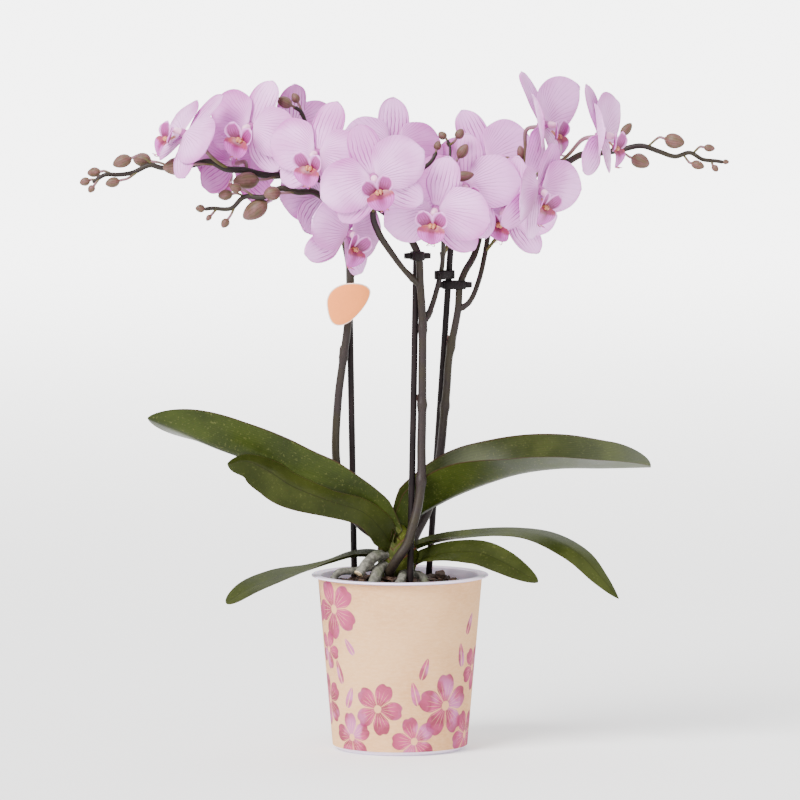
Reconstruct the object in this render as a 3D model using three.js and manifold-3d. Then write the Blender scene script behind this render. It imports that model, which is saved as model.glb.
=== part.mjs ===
// A miniature moth orchid (Phalaenopsis) with three branched flower spikes, standing in a tapered
// nine-centimetre plastic pot with a paper sleeve. Millimetres, +Z up, the origin in the middle of the
// pot's foot. The plant's front faces -Y, and +X is to the viewer's right.
import * as THREE from 'three';
import { mergeVertices } from 'three/addons/utils/BufferGeometryUtils.js';
import Module from 'manifold-3d';

const wasm = await Module();
wasm.setup();

const GAP = 0.35; // clearance kept between pieces that touch

// The pot and what fills it.
const POT = { height: 92, footRadius: 32.6, heelRadius: 34.6, heelHeight: 2.2, topRadius: 42.4, wall: 1.2 };
const RIM = { radius: 46.5, thickness: 1.5, curl: 1.6, bevel: 0.8 };
const FOOT = { recess: 1.6, ringWidth: 5, bossRadius: 9, drainRadius: 3, drainCircle: 18, drains: 4 };
const SLEEVE = { thickness: 0.5, low: 3.4, high: 88.6 };
const SOIL = { edge: 84, crown: 90 };
const CHIPS = { count: 12, length: 9, width: 6, thickness: 2.4, reach: 34, tilt: 0.3, sizeSpread: 0.25 };
const GOLDEN_ANGLE = 2.39996; // spreads the chips evenly
const POT_SIDES = 28;
const POT_FLOOR_CURVE = 2.4; // the bevel inside, between floor and wall

// The plant's own sizes.
const STAKE = { radius: 1.7, foot: 70, sides: 8 };
const LEAF = { thickness: 1.7, edge: 0.45, tipThinning: 0.45, steps: 9 };
const LEAF_PLAN = { neck: 0.6, neckSpan: 0.25, waistAt: 0.35 };
const STEM = { sides: 5, nodeSwelling: 0.3, nodeSpan: 0.016 };
const STALK = { sides: 4, steps: 3, radius: [1.05, 1.25], reach: 7, sag: 1.5 };

const paint = (color, roughness) => new THREE.MeshStandardMaterial({ color, roughness });
const LOOKS = {
  pot: paint('#efeaf0', 0.35),
  sleeve: paint('#dcc5a0', 0.8),
  soil: paint('#2e211b', 0.95),
  root: paint('#8f9388', 0.75),
  crown: paint('#66702f', 0.45),
  leaf: paint('#4f5f2a', 0.4),
  spike: paint('#57513f', 0.5),
  stake: paint('#33272a', 0.45),
  clip: paint('#2a2223', 0.4),
  tag: paint('#eac3a0', 0.85),
  petal: paint('#dcb9dc', 0.55),
  lip: paint('#b8488a', 0.5),
};

// ---------------------------------------------------------------- small helpers

const vec = (p) => new THREE.Vector3(...p);
const step = THREE.MathUtils.smoothstep;
const mix = THREE.MathUtils.lerp;
const rad = THREE.MathUtils.degToRad;

// A number from -1 to 1 that depends on the seed alone.
function draw(seed) {
  const s = Math.sin(seed * 12.9898 + 4.1414) * 43758.5453;
  return 2 * (s - Math.floor(s)) - 1;
}

// A three.js geometry, closed and facing out, as a solid.
function solidOf(geometry) {
  const loose = geometry.index ? geometry.toNonIndexed() : geometry;
  const bare = new THREE.BufferGeometry().setAttribute('position', loose.getAttribute('position'));
  const merged = mergeVertices(bare, 1e-4);
  return new wasm.Manifold(
    new wasm.Mesh({
      numProp: 3,
      vertProperties: merged.attributes.position.array,
      triVerts: new Uint32Array(merged.index.array),
    }),
  );
}

function geometryOf(solid) {
  const mesh = solid.getMesh();
  const geometry = new THREE.BufferGeometry();
  geometry.setAttribute('position', new THREE.BufferAttribute(mesh.vertProperties, 3));
  geometry.setIndex(new THREE.BufferAttribute(mesh.triVerts, 1));
  geometry.computeVertexNormals();
  return geometry;
}

const fuse = (solids) => solids.reduce((all, next) => all.add(next));

// The same table with each value changed.
function mapValues(table, change) {
  return Object.fromEntries(Object.entries(table).map(([key, value]) => [key, change(value)]));
}

// A flat outline raised along Z, its curves cut into the given number of segments.
function prism(outline, depth, curveSegments) {
  return new THREE.ExtrudeGeometry(outline, { depth, bevelEnabled: false, curveSegments });
}

// A closed geometry from points and triangles, turned to face out whichever way it was wound.
function closed(points, triangles) {
  let volume = 0;
  for (const [a, b, c] of triangles) {
    volume += points[a].dot(new THREE.Vector3().crossVectors(points[b], points[c]));
  }
  const wound = volume < 0 ? triangles.map(([a, b, c]) => [a, c, b]) : triangles;
  const geometry = new THREE.BufferGeometry().setFromPoints(points);
  geometry.setIndex(wound.flat());
  return geometry;
}

// A skin through rings of points, with a fan of triangles over each end.
function skin(rings) {
  const count = rings[0].length;
  const points = rings.flat();
  const triangles = [];
  for (let i = 0; i + 1 < rings.length; i++) {
    for (let j = 0; j < count; j++) {
      const k = (j + 1) % count;
      const [a, b, c, d] = [i * count + j, i * count + k, (i + 1) * count + k, (i + 1) * count + j];
      triangles.push([a, b, c], [a, c, d]);
    }
  }
  const last = (rings.length - 1) * count;
  for (let j = 1; j + 1 < count; j++) {
    triangles.push([0, j + 1, j], [last, last + j, last + j + 1]);
  }
  return closed(points, triangles);
}

const curveThrough = (path) => new THREE.CatmullRomCurve3(path.map(vec), false, 'centripetal');

// A round stem along a curve; radiusAt takes the share of the length from 0 to 1.
function tube(curve, radiusAt, sides, steps) {
  const frames = curve.computeFrenetFrames(steps, false);
  const rings = [];
  for (let i = 0; i <= steps; i++) {
    const middle = curve.getPointAt(i / steps);
    const ring = [];
    for (let j = 0; j < sides; j++) {
      const a = (2 * Math.PI * j) / sides;
      ring.push(
        middle
          .clone()
          .addScaledVector(frames.normals[i], Math.cos(a) * radiusAt(i / steps))
          .addScaledVector(frames.binormals[i], Math.sin(a) * radiusAt(i / steps)),
      );
    }
    rings.push(ring);
  }
  return skin(rings);
}

// A thin blade round a grid of middle points: the same triangles on both faces, and a wall round the edge.
function blade(grid, thicknessAt) {
  const [rows, columns] = [grid.length, grid[0].length];
  const at = (i, j) => grid[Math.min(Math.max(i, 0), rows - 1)][Math.min(Math.max(j, 0), columns - 1)];
  const front = [];
  const back = [];
  for (let i = 0; i < rows; i++) {
    for (let j = 0; j < columns; j++) {
      const along = at(i + 1, j).clone().sub(at(i - 1, j));
      const across = at(i, j + 1).clone().sub(at(i, j - 1));
      const normal = along.cross(across).normalize();
      const half = thicknessAt(i / (rows - 1), (2 * j) / (columns - 1) - 1) / 2;
      front.push(grid[i][j].clone().addScaledVector(normal, half));
      back.push(grid[i][j].clone().addScaledVector(normal, -half));
    }
  }
  const index = (i, j) => i * columns + j;
  const far = front.length;
  const triangles = [];
  for (let i = 0; i + 1 < rows; i++) {
    for (let j = 0; j + 1 < columns; j++) {
      const [a, b, c, d] = [index(i, j), index(i, j + 1), index(i + 1, j + 1), index(i + 1, j)];
      triangles.push([a, b, c], [a, c, d], [far + a, far + c, far + b], [far + a, far + d, far + c]);
    }
  }
  const edge = [];
  for (let j = 0; j + 1 < columns; j++) edge.push(index(0, j));
  for (let i = 0; i + 1 < rows; i++) edge.push(index(i, columns - 1));
  for (let j = columns - 1; j > 0; j--) edge.push(index(rows - 1, j));
  for (let i = rows - 1; i > 0; i--) edge.push(index(i, 0));
  edge.forEach((a, n) => {
    const b = edge[(n + 1) % edge.length];
    triangles.push([b, a, far + a], [b, far + a, far + b]);
  });
  return closed([...front, ...back], triangles);
}

// ---------------------------------------------------------------- pot, sleeve and soil

// The outer wall's radius at a height, on the straight taper from heel to rim.
function potRadius(z) {
  return mix(POT.heelRadius, POT.topRadius, (z - POT.heelHeight) / (POT.height - POT.heelHeight));
}

function turned(profile) {
  const points = profile.map(([r, z]) => new THREE.Vector2(r, z));
  return new THREE.LatheGeometry(points, POT_SIDES).rotateX(Math.PI / 2);
}

// A thin-walled tapered pot with a foot ring, a rolled rim and drain holes in its floor.
function pot() {
  const floor = FOOT.recess + POT.wall;
  const inner = (z) => potRadius(z) - POT.wall;
  const under = POT.height - RIM.thickness;
  const body = solidOf(
    turned([
      [0, 0],
      [FOOT.bossRadius, 0],
      [FOOT.bossRadius + 1, FOOT.recess],
      [POT.footRadius - FOOT.ringWidth, FOOT.recess],
      [POT.footRadius - FOOT.ringWidth, 0],
      [POT.footRadius, 0],
      [POT.heelRadius, POT.heelHeight],
      [potRadius(under), under],
      [RIM.radius - RIM.bevel, under - RIM.curl],
      [RIM.radius, POT.height - RIM.curl],
      [RIM.radius - RIM.bevel, POT.height],
      [inner(POT.height) + RIM.bevel, POT.height],
      [inner(POT.height - RIM.curl), POT.height - RIM.curl],
      [inner(floor + POT_FLOOR_CURVE), floor + POT_FLOOR_CURVE],
      [inner(floor) - POT_FLOOR_CURVE, floor],
      [0, floor],
    ]),
  );
  const drill = new THREE.CylinderGeometry(FOOT.drainRadius, FOOT.drainRadius, 2 * floor + 2, 8);
  drill.rotateX(Math.PI / 2);
  const drains = [];
  for (let n = 0; n < FOOT.drains; n++) {
    const a = (2 * Math.PI * (n + 0.5)) / FOOT.drains;
    const place = [FOOT.drainCircle * Math.cos(a), FOOT.drainCircle * Math.sin(a), floor];
    drains.push(solidOf(drill.clone().translate(...place)));
  }
  return body.subtract(fuse(drains));
}

// The printed paper sleeve, a tapered band close round the wall.
function sleeve() {
  const inner = (z) => potRadius(z) + GAP;
  const { low, high, thickness } = SLEEVE;
  return solidOf(
    turned([
      [inner(low), low],
      [inner(low) + thickness, low],
      [inner(high) + thickness, high],
      [inner(high), high],
      [inner(low), low],
    ]),
  );
}

// The height of the soil's surface: a low mound with lumps.
function soilHeight(x, y) {
  const r = Math.hypot(x, y) / POT.topRadius;
  const lumps = 0.7 * Math.sin(0.31 * x + 1.3) * Math.cos(0.27 * y) + 0.5 * Math.sin(0.63 * y + 0.41 * x);
  return mix(SOIL.crown, SOIL.edge, Math.min(1, r * r)) + lumps;
}

// One flat, wedge-shaped chip of bark, tilted and turned by its number.
function barkChip(n) {
  const distance = CHIPS.reach * Math.sqrt((n + 0.6) / CHIPS.count);
  const bearing = n * GOLDEN_ANGLE;
  const [x, y] = [distance * Math.cos(bearing), distance * Math.sin(bearing)];
  const size = 1 + CHIPS.sizeSpread * draw(n);
  const thickness = CHIPS.thickness * (1 + CHIPS.sizeSpread * draw(n + 50));
  const chip = new THREE.CylinderGeometry(0.34, 0.5, 1, 4);
  chip.scale(CHIPS.length * size, thickness, CHIPS.width * size);
  chip.rotateX(Math.PI / 2 + CHIPS.tilt * draw(n + 100)).rotateY(CHIPS.tilt * draw(n + 150));
  return solidOf(chip.rotateZ(Math.PI * draw(n + 200)).translate(x, y, soilHeight(x, y)));
}

// Potting bark that fills the pot to just under its rim, with holes for what stands in it.
function soil(standing) {
  const floor = FOOT.recess + POT.wall + GAP;
  const reach = (z) => potRadius(z) - POT.wall - GAP;
  const above = floor + POT_FLOOR_CURVE;
  const levels = [
    { radius: reach(floor) - POT_FLOOR_CURVE, height: () => floor },
    { radius: reach(above), height: () => above },
    { radius: reach(SOIL.edge), height: soilHeight },
    { radius: 0.5 * reach(SOIL.edge), height: soilHeight },
  ];
  const rings = levels.map(({ radius, height }) => {
    const ring = [];
    for (let j = 0; j < POT_SIDES; j++) {
      const a = (2 * Math.PI * j) / POT_SIDES;
      const [x, y] = [radius * Math.cos(a), radius * Math.sin(a)];
      ring.push(vec([x, y, height(x, y)]));
    }
    return ring;
  });
  let body = solidOf(skin(rings));
  for (let n = 0; n < CHIPS.count; n++) body = body.add(barkChip(n));
  return largest(body.subtract(fuse(standing)));
}

// The biggest body of a solid that a cut has left in pieces.
function largest(solid) {
  const bodies = solid.decompose();
  return bodies.reduce((a, b) => (b.volume() > a.volume() ? b : a));
}

// ---------------------------------------------------------------- crown, roots and leaves

// The short stem of leaf sheaths: height, half width and half depth of each section.
const CROWN_SECTIONS = [
  [81, 3.4, 3.4],
  [90, 7, 6],
  [100, 9.4, 7.6],
  [112, 9.4, 7.2],
  [123, 7, 5.4],
  [131, 3.2, 2.8],
];
const CROWN_X = -1.5;

function crown(grow = 0) {
  const sides = 8;
  const rings = CROWN_SECTIONS.map(([z, halfWidth, halfDepth], i) => {
    const lift = i === 0 ? -grow : i === CROWN_SECTIONS.length - 1 ? grow : 0;
    const ring = [];
    for (let j = 0; j < sides; j++) {
      const a = (2 * Math.PI * j) / sides;
      const [x, y] = [(halfWidth + grow) * Math.cos(a), (halfDepth + grow) * Math.sin(a)];
      ring.push(vec([CROWN_X + x, y, z + lift]));
    }
    return ring;
  });
  return solidOf(skin(rings));
}

// Aerial roots, each from inside the crown to its tip.
const ROOTS = {
  root_cut: {
    radius: 2.3,
    path: [
      [-6, -3, 102], [-11.5, -8.5, 102.5], [-16.5, -15, 100], [-21.5, -20, 94],
    ],
  },
  root_front_left: {
    radius: 2.4,
    path: [
      [-6, -3, 97], [-10.3, -9, 96], [-12.8, -17, 92], [-15, -23, 84], [-15.5, -25, 76],
    ],
  },
  root_rim: {
    radius: 1.5,
    path: [
      [-7, 0, 94], [-15, -4, 95.4], [-24, -9, 94.6], [-32, -12, 94], [-35.5, -13, 89], [-36, -13, 80],
    ],
  },
  root_front: {
    radius: 1.9,
    path: [
      [2, -4, 93], [1.6, -9, 92.6], [0.6, -16, 90.5], [-3, -22, 84], [-4.5, -25, 75],
    ],
  },
  root_right: {
    radius: 1.8,
    path: [
      [4, -1, 92], [11, -5, 91.5], [14, -8.5, 86], [15, -11, 78],
    ],
  },
};
const ROOT_FORM = { sides: 6, steps: 6 };

function root({ radius, path }, grow = 0) {
  const radiusAt = (t) => grow + radius * (1 - 0.12 * Math.sin(9 * t) * t);
  return solidOf(tube(curveThrough(path), radiusAt, ROOT_FORM.sides, ROOT_FORM.steps));
}

// Leaves. The spine is the keel, base first. base and waist are the shares of the full width near the crown
// and a third of the way out, and tip is where the narrowing starts and how pointed it is. lean turns the
// upper face towards the viewer and fold closes the two halves like a gutter, both in degrees at the base,
// the middle and the tip.
const LEAVES = {
  leaf_upper_left: {
    halfWidth: 20.5,
    base: 0.5,
    waist: 0.96,
    tip: [0.7, 0.7],
    lean: [8, -20, -40],
    fold: [62, 48, 12],
    spine: [
      [-3, 1, 113], [-12.3, -1, 123], [-20, -2.5, 127.6], [-36, -6, 133.8], [-53.5, -10, 141],
      [-76.7, -15, 152.4], [-96, -18, 160.4], [-113.3, -20, 168.6], [-131.3, -21, 175.8],
    ],
  },
  leaf_middle_left: {
    halfWidth: 13.4,
    base: 0.74,
    waist: 0.64,
    tip: [0.72, 0.5],
    lean: [50, 46, 38],
    fold: [10, -10, -26],
    spine: [
      [-4.5, -4, 107.5], [-12.3, -10, 118.6], [-20, -15, 125.8], [-37, -21, 132], [-57, -27, 140.8],
      [-68.4, -30, 148.6], [-80, -33, 154], [-89.4, -35, 152.6],
    ],
  },
  leaf_lower_left: {
    halfWidth: 9.5,
    base: 0.7,
    waist: 0.4,
    tip: [0.75, 0.5],
    lean: [10, 6, 24],
    fold: [30, 14, 6],
    spine: [
      [-5, 3, 97], [-13, 3, 100.5], [-24, 0, 101.5], [-36, -6, 99], [-50, -12, 95], [-65, -17, 91],
      [-79, -21, 86], [-90.5, -24, 79],
    ],
  },
  leaf_upper_right: {
    halfWidth: 24.5,
    base: 0.66,
    waist: 1,
    tip: [0.85, 0.5],
    lean: [12, 15, 4],
    fold: [84, 38, 14],
    spine: [
      [1, 3, 113], [11, 4, 123], [21, 3, 129], [32, 1, 134.5], [47, -2, 140.5], [63, -5, 145.5],
      [84, -8, 148.5], [106, -10, 148.8], [131, -12, 149.5],
    ],
  },
  leaf_middle_right: {
    halfWidth: 9,
    base: 0.6,
    waist: 0.62,
    tip: [0.6, 0.8],
    lean: [10, 18, 40],
    fold: [40, 0, -14],
    spine: [
      [2, 1, 100], [9, 1, 105.5], [21, 0, 109.5], [37, -3, 112.2], [52, -7, 114.3], [66, -10, 114.4],
      [79, -14, 111.5], [94, -18, 103.5], [104.5, -21, 92.5], [114, -23, 81.4],
    ],
  },
  leaf_lower_right: {
    halfWidth: 8.4,
    base: 0.75,
    waist: 1,
    tip: [0.6, 0.6],
    lean: [30, 45, 45],
    fold: [34, 5, 5],
    spine: [
      [4, 0, 95], [10, -3, 98.6], [16.4, -7.4, 101.4], [28, -14, 104.4], [41, -20, 104.9],
      [52.5, -25, 101], [62.6, -29, 95.9], [71.7, -32, 91.1],
    ],
  },
};

// The share of a leaf's full width at the share u of its length.
function leafOutline(u, { base, waist, tip: [start, power] }) {
  const { neck, neckSpan, waistAt } = LEAF_PLAN;
  const inner = mix(base, waist, step(u, 0, waistAt));
  const outer = mix(waist, 1, step(u, waistAt, 2 * waistAt));
  const body = Math.min(1, neck + u / neckSpan) * (u < waistAt ? inner : outer);
  return body * (1 - Math.max(0, (u - start) / (1.01 - start)) ** 2) ** power;
}

function threeWay([base, middle, tip], u) {
  return u < 0.5 ? mix(base, middle, 2 * u) : mix(middle, tip, 2 * u - 1);
}

function leafGrid(shape) {
  const { halfWidth, lean, fold, spine } = shape;
  const curve = curveThrough(spine);
  const grid = [];
  for (let i = 0; i <= LEAF.steps; i++) {
    const u = 1 - (1 - i / LEAF.steps) ** 1.12; // a little closer together at the tip
    const turn = rad(threeWay(lean, u));
    const along = curve.getTangentAt(u);
    const up = vec([0, -Math.sin(turn), Math.cos(turn)]);
    up.addScaledVector(along, -up.dot(along)).normalize();
    const side = new THREE.Vector3().crossVectors(along, up);
    const opening = rad(threeWay(fold, u));
    const reach = halfWidth * leafOutline(u, shape);
    const row = [];
    for (const v of [-1, 0, 1]) {
      row.push(
        curve
          .getPointAt(u)
          .addScaledVector(side, v * reach * Math.cos(opening))
          .addScaledVector(up, Math.abs(v) * reach * Math.sin(opening)),
      );
    }
    grid.push(row);
  }
  return grid;
}

function leaf(shape) {
  const { thickness, edge, tipThinning } = LEAF;
  return solidOf(blade(leafGrid(shape), (u, v) => thickness * mix(1, edge, v * v) * (1 - tipThinning * u)));
}

// ---------------------------------------------------------------- flower spikes

// Stems of the three spikes, root end first, with the radius at each end. sheaths are the nodes, as shares
// of the length. A stem that starts on another one is fused to it.
const STEMS = {
  left_main: {
    spike: 'left',
    radius: [2.3, 2],
    sheaths: [0.22, 0.64],
    path: [
      [-5, 6, 107], [-13, 9.4, 111], [-22, 9.8, 118], [-29, 10.2, 131], [-33.5, 9.8, 151],
      [-32.5, 8, 183], [-30, 7, 203], [-27.5, 5.5, 222], [-26, 3.5, 249], [-29, 1, 268],
    ],
  },
  left_side: {
    spike: 'left',
    radius: [1.2, 0.8],
    sheaths: [],
    path: [
      [-26, 3.8, 247], [-21.5, 1.6, 253.5], [-17.5, 0, 262], [-16, 0, 269], [-15.2, 0.6, 275],
    ],
  },
  left_low: {
    spike: 'left',
    radius: [1.6, 0.7],
    sheaths: [],
    path: [
      [-29, 1, 266], [-35, -5, 284], [-45, -11, 293], [-53, -13, 293], [-62, -14, 295],
      [-71, -15, 290.5], [-81, -14, 290.5], [-88, -13, 284.5], [-98, -12, 284.5], [-102, -12, 284],
    ],
  },
  left_high: {
    spike: 'left',
    radius: [1.4, 0.7],
    sheaths: [],
    path: [
      [-29, 1, 266], [-32, 9, 282], [-37, 15, 298], [-44, 14, 314], [-49, 7, 327], [-51.5, 2, 334],
      [-55, -1, 337],
    ],
  },
  centre_main: {
    spike: 'centre',
    radius: [2.6, 1.9],
    sheaths: [0.3, 0.5, 0.7],
    path: [
      [-6, -4.5, 91], [-5, -11, 95], [-1, -15.3, 102], [3.6, -16, 109], [6.6, -15.5, 118.5],
      [9, -14.2, 127.5], [10.6, -13, 137], [11.2, -11.6, 148.5], [11.2, -10.6, 160], [11.5, -9.8, 173],
      [11.7, -9, 199], [11.7, -8.5, 226], [10.5, -9, 246], [9.7, -9.5, 259], [6.3, -9, 267],
      [-2, -7, 277],
    ],
  },
  centre_far: {
    spike: 'centre',
    radius: [1.9, 0.75],
    sheaths: [],
    path: [
      [-1, -7, 276], [-8, -4, 282], [-20, -1, 289], [-36, 1, 297], [-52, 2, 301.5], [-69.4, 2, 301],
      [-82, 1, 303.8], [-90.8, 0, 304.5], [-99.6, 0, 308.4], [-109, 0, 306.5], [-123.7, 0, 305],
      [-130.5, 0, 306.5], [-139.6, 0, 302.6], [-147, 0, 301.5], [-154, -1, 301.5], [-160.5, -2, 297.5],
    ],
  },
  centre_left: {
    spike: 'centre',
    radius: [1.6, 0.7],
    sheaths: [0.06],
    path: [
      [10.4, -9, 244], [3, -13, 251.5], [-5.8, -17, 263.5], [-11, -21, 272], [-14, -24, 281],
      [-12, -24.5, 291], [-3, -25, 298], [9, -24, 304], [16, -21, 309], [19, -19, 314],
    ],
  },
  centre_right: {
    spike: 'centre',
    radius: [1.6, 0.7],
    sheaths: [0.06],
    path: [
      [11.7, -8.5, 223], [14.4, -6, 228], [17, -2.5, 234], [20.4, 0.5, 246], [22, -1, 254],
      [22.5, -8, 265], [22, -17, 276], [20, -21.4, 288], [20.8, -20.6, 299], [25.4, -18, 309],
      [26, -15, 316], [24.5, -14, 320.5],
    ],
  },
  right_main: {
    spike: 'right',
    radius: [2.6, 1.5],
    sheaths: [0.36, 0.5],
    path: [
      [3, 6, 101], [9.4, 9.8, 114], [14.7, 11.5, 124.5], [19, 12.3, 141], [21.5, 11.7, 157], [23, 10, 173],
      [24.5, 8.2, 189], [25.7, 6.2, 205], [30.4, 4, 231], [31.3, 4.5, 243], [33.8, 6.5, 250],
      [39, 12, 259], [43, 20.5, 275], [45, 25, 291], [45, 24, 306], [48, 22, 318],
    ],
  },
  right_side: {
    spike: 'right',
    radius: [1.4, 1.3],
    sheaths: [0.05],
    path: [
      [30.2, 4, 230], [36.5, 4, 235], [41.2, 7, 245.5], [44.5, 11.5, 259], [47, 15, 272],
      [52, 13, 284], [58, 7.5, 291],
    ],
  },
  right_far: {
    spike: 'right',
    radius: [1.6, 0.7],
    sheaths: [],
    path: [
      [57, 7, 290], [60.5, 6.5, 298], [67, 3, 303.7], [76, -3, 304.8], [84, -7, 306.6], [94, -5, 312],
      [102, 3, 312.4], [114, 5, 314], [126, 3, 316.5], [135, 2, 313.7], [143.6, 1, 311],
      [151.4, 0, 313], [158, 0, 309.5], [165.6, 0, 308.6], [169, 0, 308],
    ],
  },
  right_short: {
    spike: 'right',
    radius: [1.1, 0.6],
    sheaths: [],
    path: [
      [57.5, 7, 290], [57.5, 6.4, 298], [59.5, 5.6, 303.5], [65.5, 5.4, 306.5], [71, 5.6, 309.5],
    ],
  },
};

// Flower buds: the stem and the share of its length where the stalk leaves, the bud's middle, its length
// and width, and how far the stalk rises on its way.
const BUDS = [
  { stem: 'centre_far', share: 0.6, at: [-117, -7, 306], size: [13.5, 10], rise: 1 },
  { stem: 'centre_far', share: 0.4, at: [-80.5, -5, 298.5], size: [14, 9.4], rise: -1 },
  { stem: 'centre_far', share: 0.8, at: [-145, -3, 308.5], size: [10.3, 7.3], rise: 5 },
  { stem: 'centre_far', share: 0.74, at: [-135, 6, 309], size: [10, 8], rise: 1 },
  { stem: 'centre_far', share: 0.84, at: [-150, -3, 297.6], size: [7.7, 5.7], rise: -2 },
  { stem: 'centre_far', share: 0.93, at: [-160, 2.5, 302.6], size: [7.3, 5.5], rise: 1.5 },
  { stem: 'centre_far', share: 0.985, at: [-164.5, -2.5, 298], size: [5.6, 4.8], rise: 0.5 },
  { stem: 'centre_far', share: 0.97, at: [-161, -4, 294.2], size: [4.4, 4], rise: 0 },
  { stem: 'left_low', share: 0.44, at: [-66.5, -19, 292.5], size: [8.9, 8], rise: 0 },
  { stem: 'left_low', share: 0.54, at: [-75.5, -12, 283.6], size: [15, 10], rise: -1 },
  { stem: 'left_low', share: 0.75, at: [-91, -10.5, 291.4], size: [8, 6], rise: 1.5 },
  { stem: 'left_low', share: 0.7, at: [-85.5, -18.5, 295.5], size: [6.2, 5.5], rise: 1 },
  { stem: 'left_low', share: 0.99, at: [-104, -12.5, 284.4], size: [5, 4.5], rise: 0 },
  { stem: 'left_low', share: 0.93, at: [-99.5, -14, 279.6], size: [3.8, 3], rise: 0 },
  { stem: 'left_low', share: 0.82, at: [-91, -14, 276.8], size: [5.4, 4.7], rise: -1 },
  { stem: 'left_high', share: 0.99, at: [-60.3, -2, 339.4], size: [8.6, 6.4], rise: 0 },
  { stem: 'left_high', share: 0.9, at: [-54.6, 3.6, 341.5], size: [5.6, 4.7], rise: 1 },
  { stem: 'left_side', share: 0.98, at: [-14.8, 1.5, 279], size: [6, 4.6], rise: 0 },
  { stem: 'centre_right', share: 0.97, at: [31, -17, 323.5], size: [5.8, 5.2], rise: -1 },
  { stem: 'centre_right', share: 0.88, at: [32.6, -20, 314.6], size: [8.5, 6], rise: -3 },
  { stem: 'centre_right', share: 0.81, at: [33.2, -22, 301.8], size: [10.7, 5.8], rise: -1 },
  { stem: 'centre_right', share: 0.99, at: [22, -13, 322.5], size: [5, 4.6], rise: 0.5 },
  { stem: 'centre_left', share: 0.985, at: [19.5, -18.5, 317.5], size: [5, 4.2], rise: 0 },
  { stem: 'right_far', share: 0.57, at: [125.5, -3, 308.6], size: [11.2, 8.2], rise: -1 },
  { stem: 'right_far', share: 0.68, at: [143.3, -2, 319.2], size: [10.8, 8.5], rise: 4 },
  { stem: 'right_far', share: 0.83, at: [155.4, -2.5, 306.6], size: [7.3, 5], rise: -2 },
  { stem: 'right_far', share: 0.87, at: [161.6, 1.5, 315.4], size: [6, 4.2], rise: 2.5 },
  { stem: 'right_far', share: 0.95, at: [164.5, -2, 304.9], size: [4.4, 3.6], rise: -1 },
  { stem: 'right_far', share: 0.99, at: [170.2, 0, 308.2], size: [3.4, 2.8], rise: 0 },
  { stem: 'right_far', share: 0.53, at: [118.4, 6.6, 325], size: [8.4, 5.2], rise: 1 },
  { stem: 'right_short', share: 0.5, at: [56.6, 4.4, 308.5], size: [5.6, 4.8], rise: 0.5 },
  { stem: 'right_short', share: 0.75, at: [63.4, 4.4, 313], size: [7.4, 4.8], rise: 0 },
  { stem: 'right_short', share: 0.98, at: [73.2, 5.4, 311.2], size: [3.6, 3], rise: 0 },
  { stem: 'right_main', share: 0.985, at: [48.6, 22, 322.4], size: [7, 5.2], rise: 0 },
  { stem: 'right_main', share: 0.93, at: [41.5, 27, 314.5], size: [6.6, 4.8], rise: 0 },
];
const BUD_FORM = { sides: 4, stalkRadius: 0.8, stalkBend: 0.4 };
// Each section of a bud: the share of its length and the share of its half width.
const BUD_SECTIONS = [
  [0.02, 0.44],
  [0.5, 1],
  [1, 0.24],
];

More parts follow.
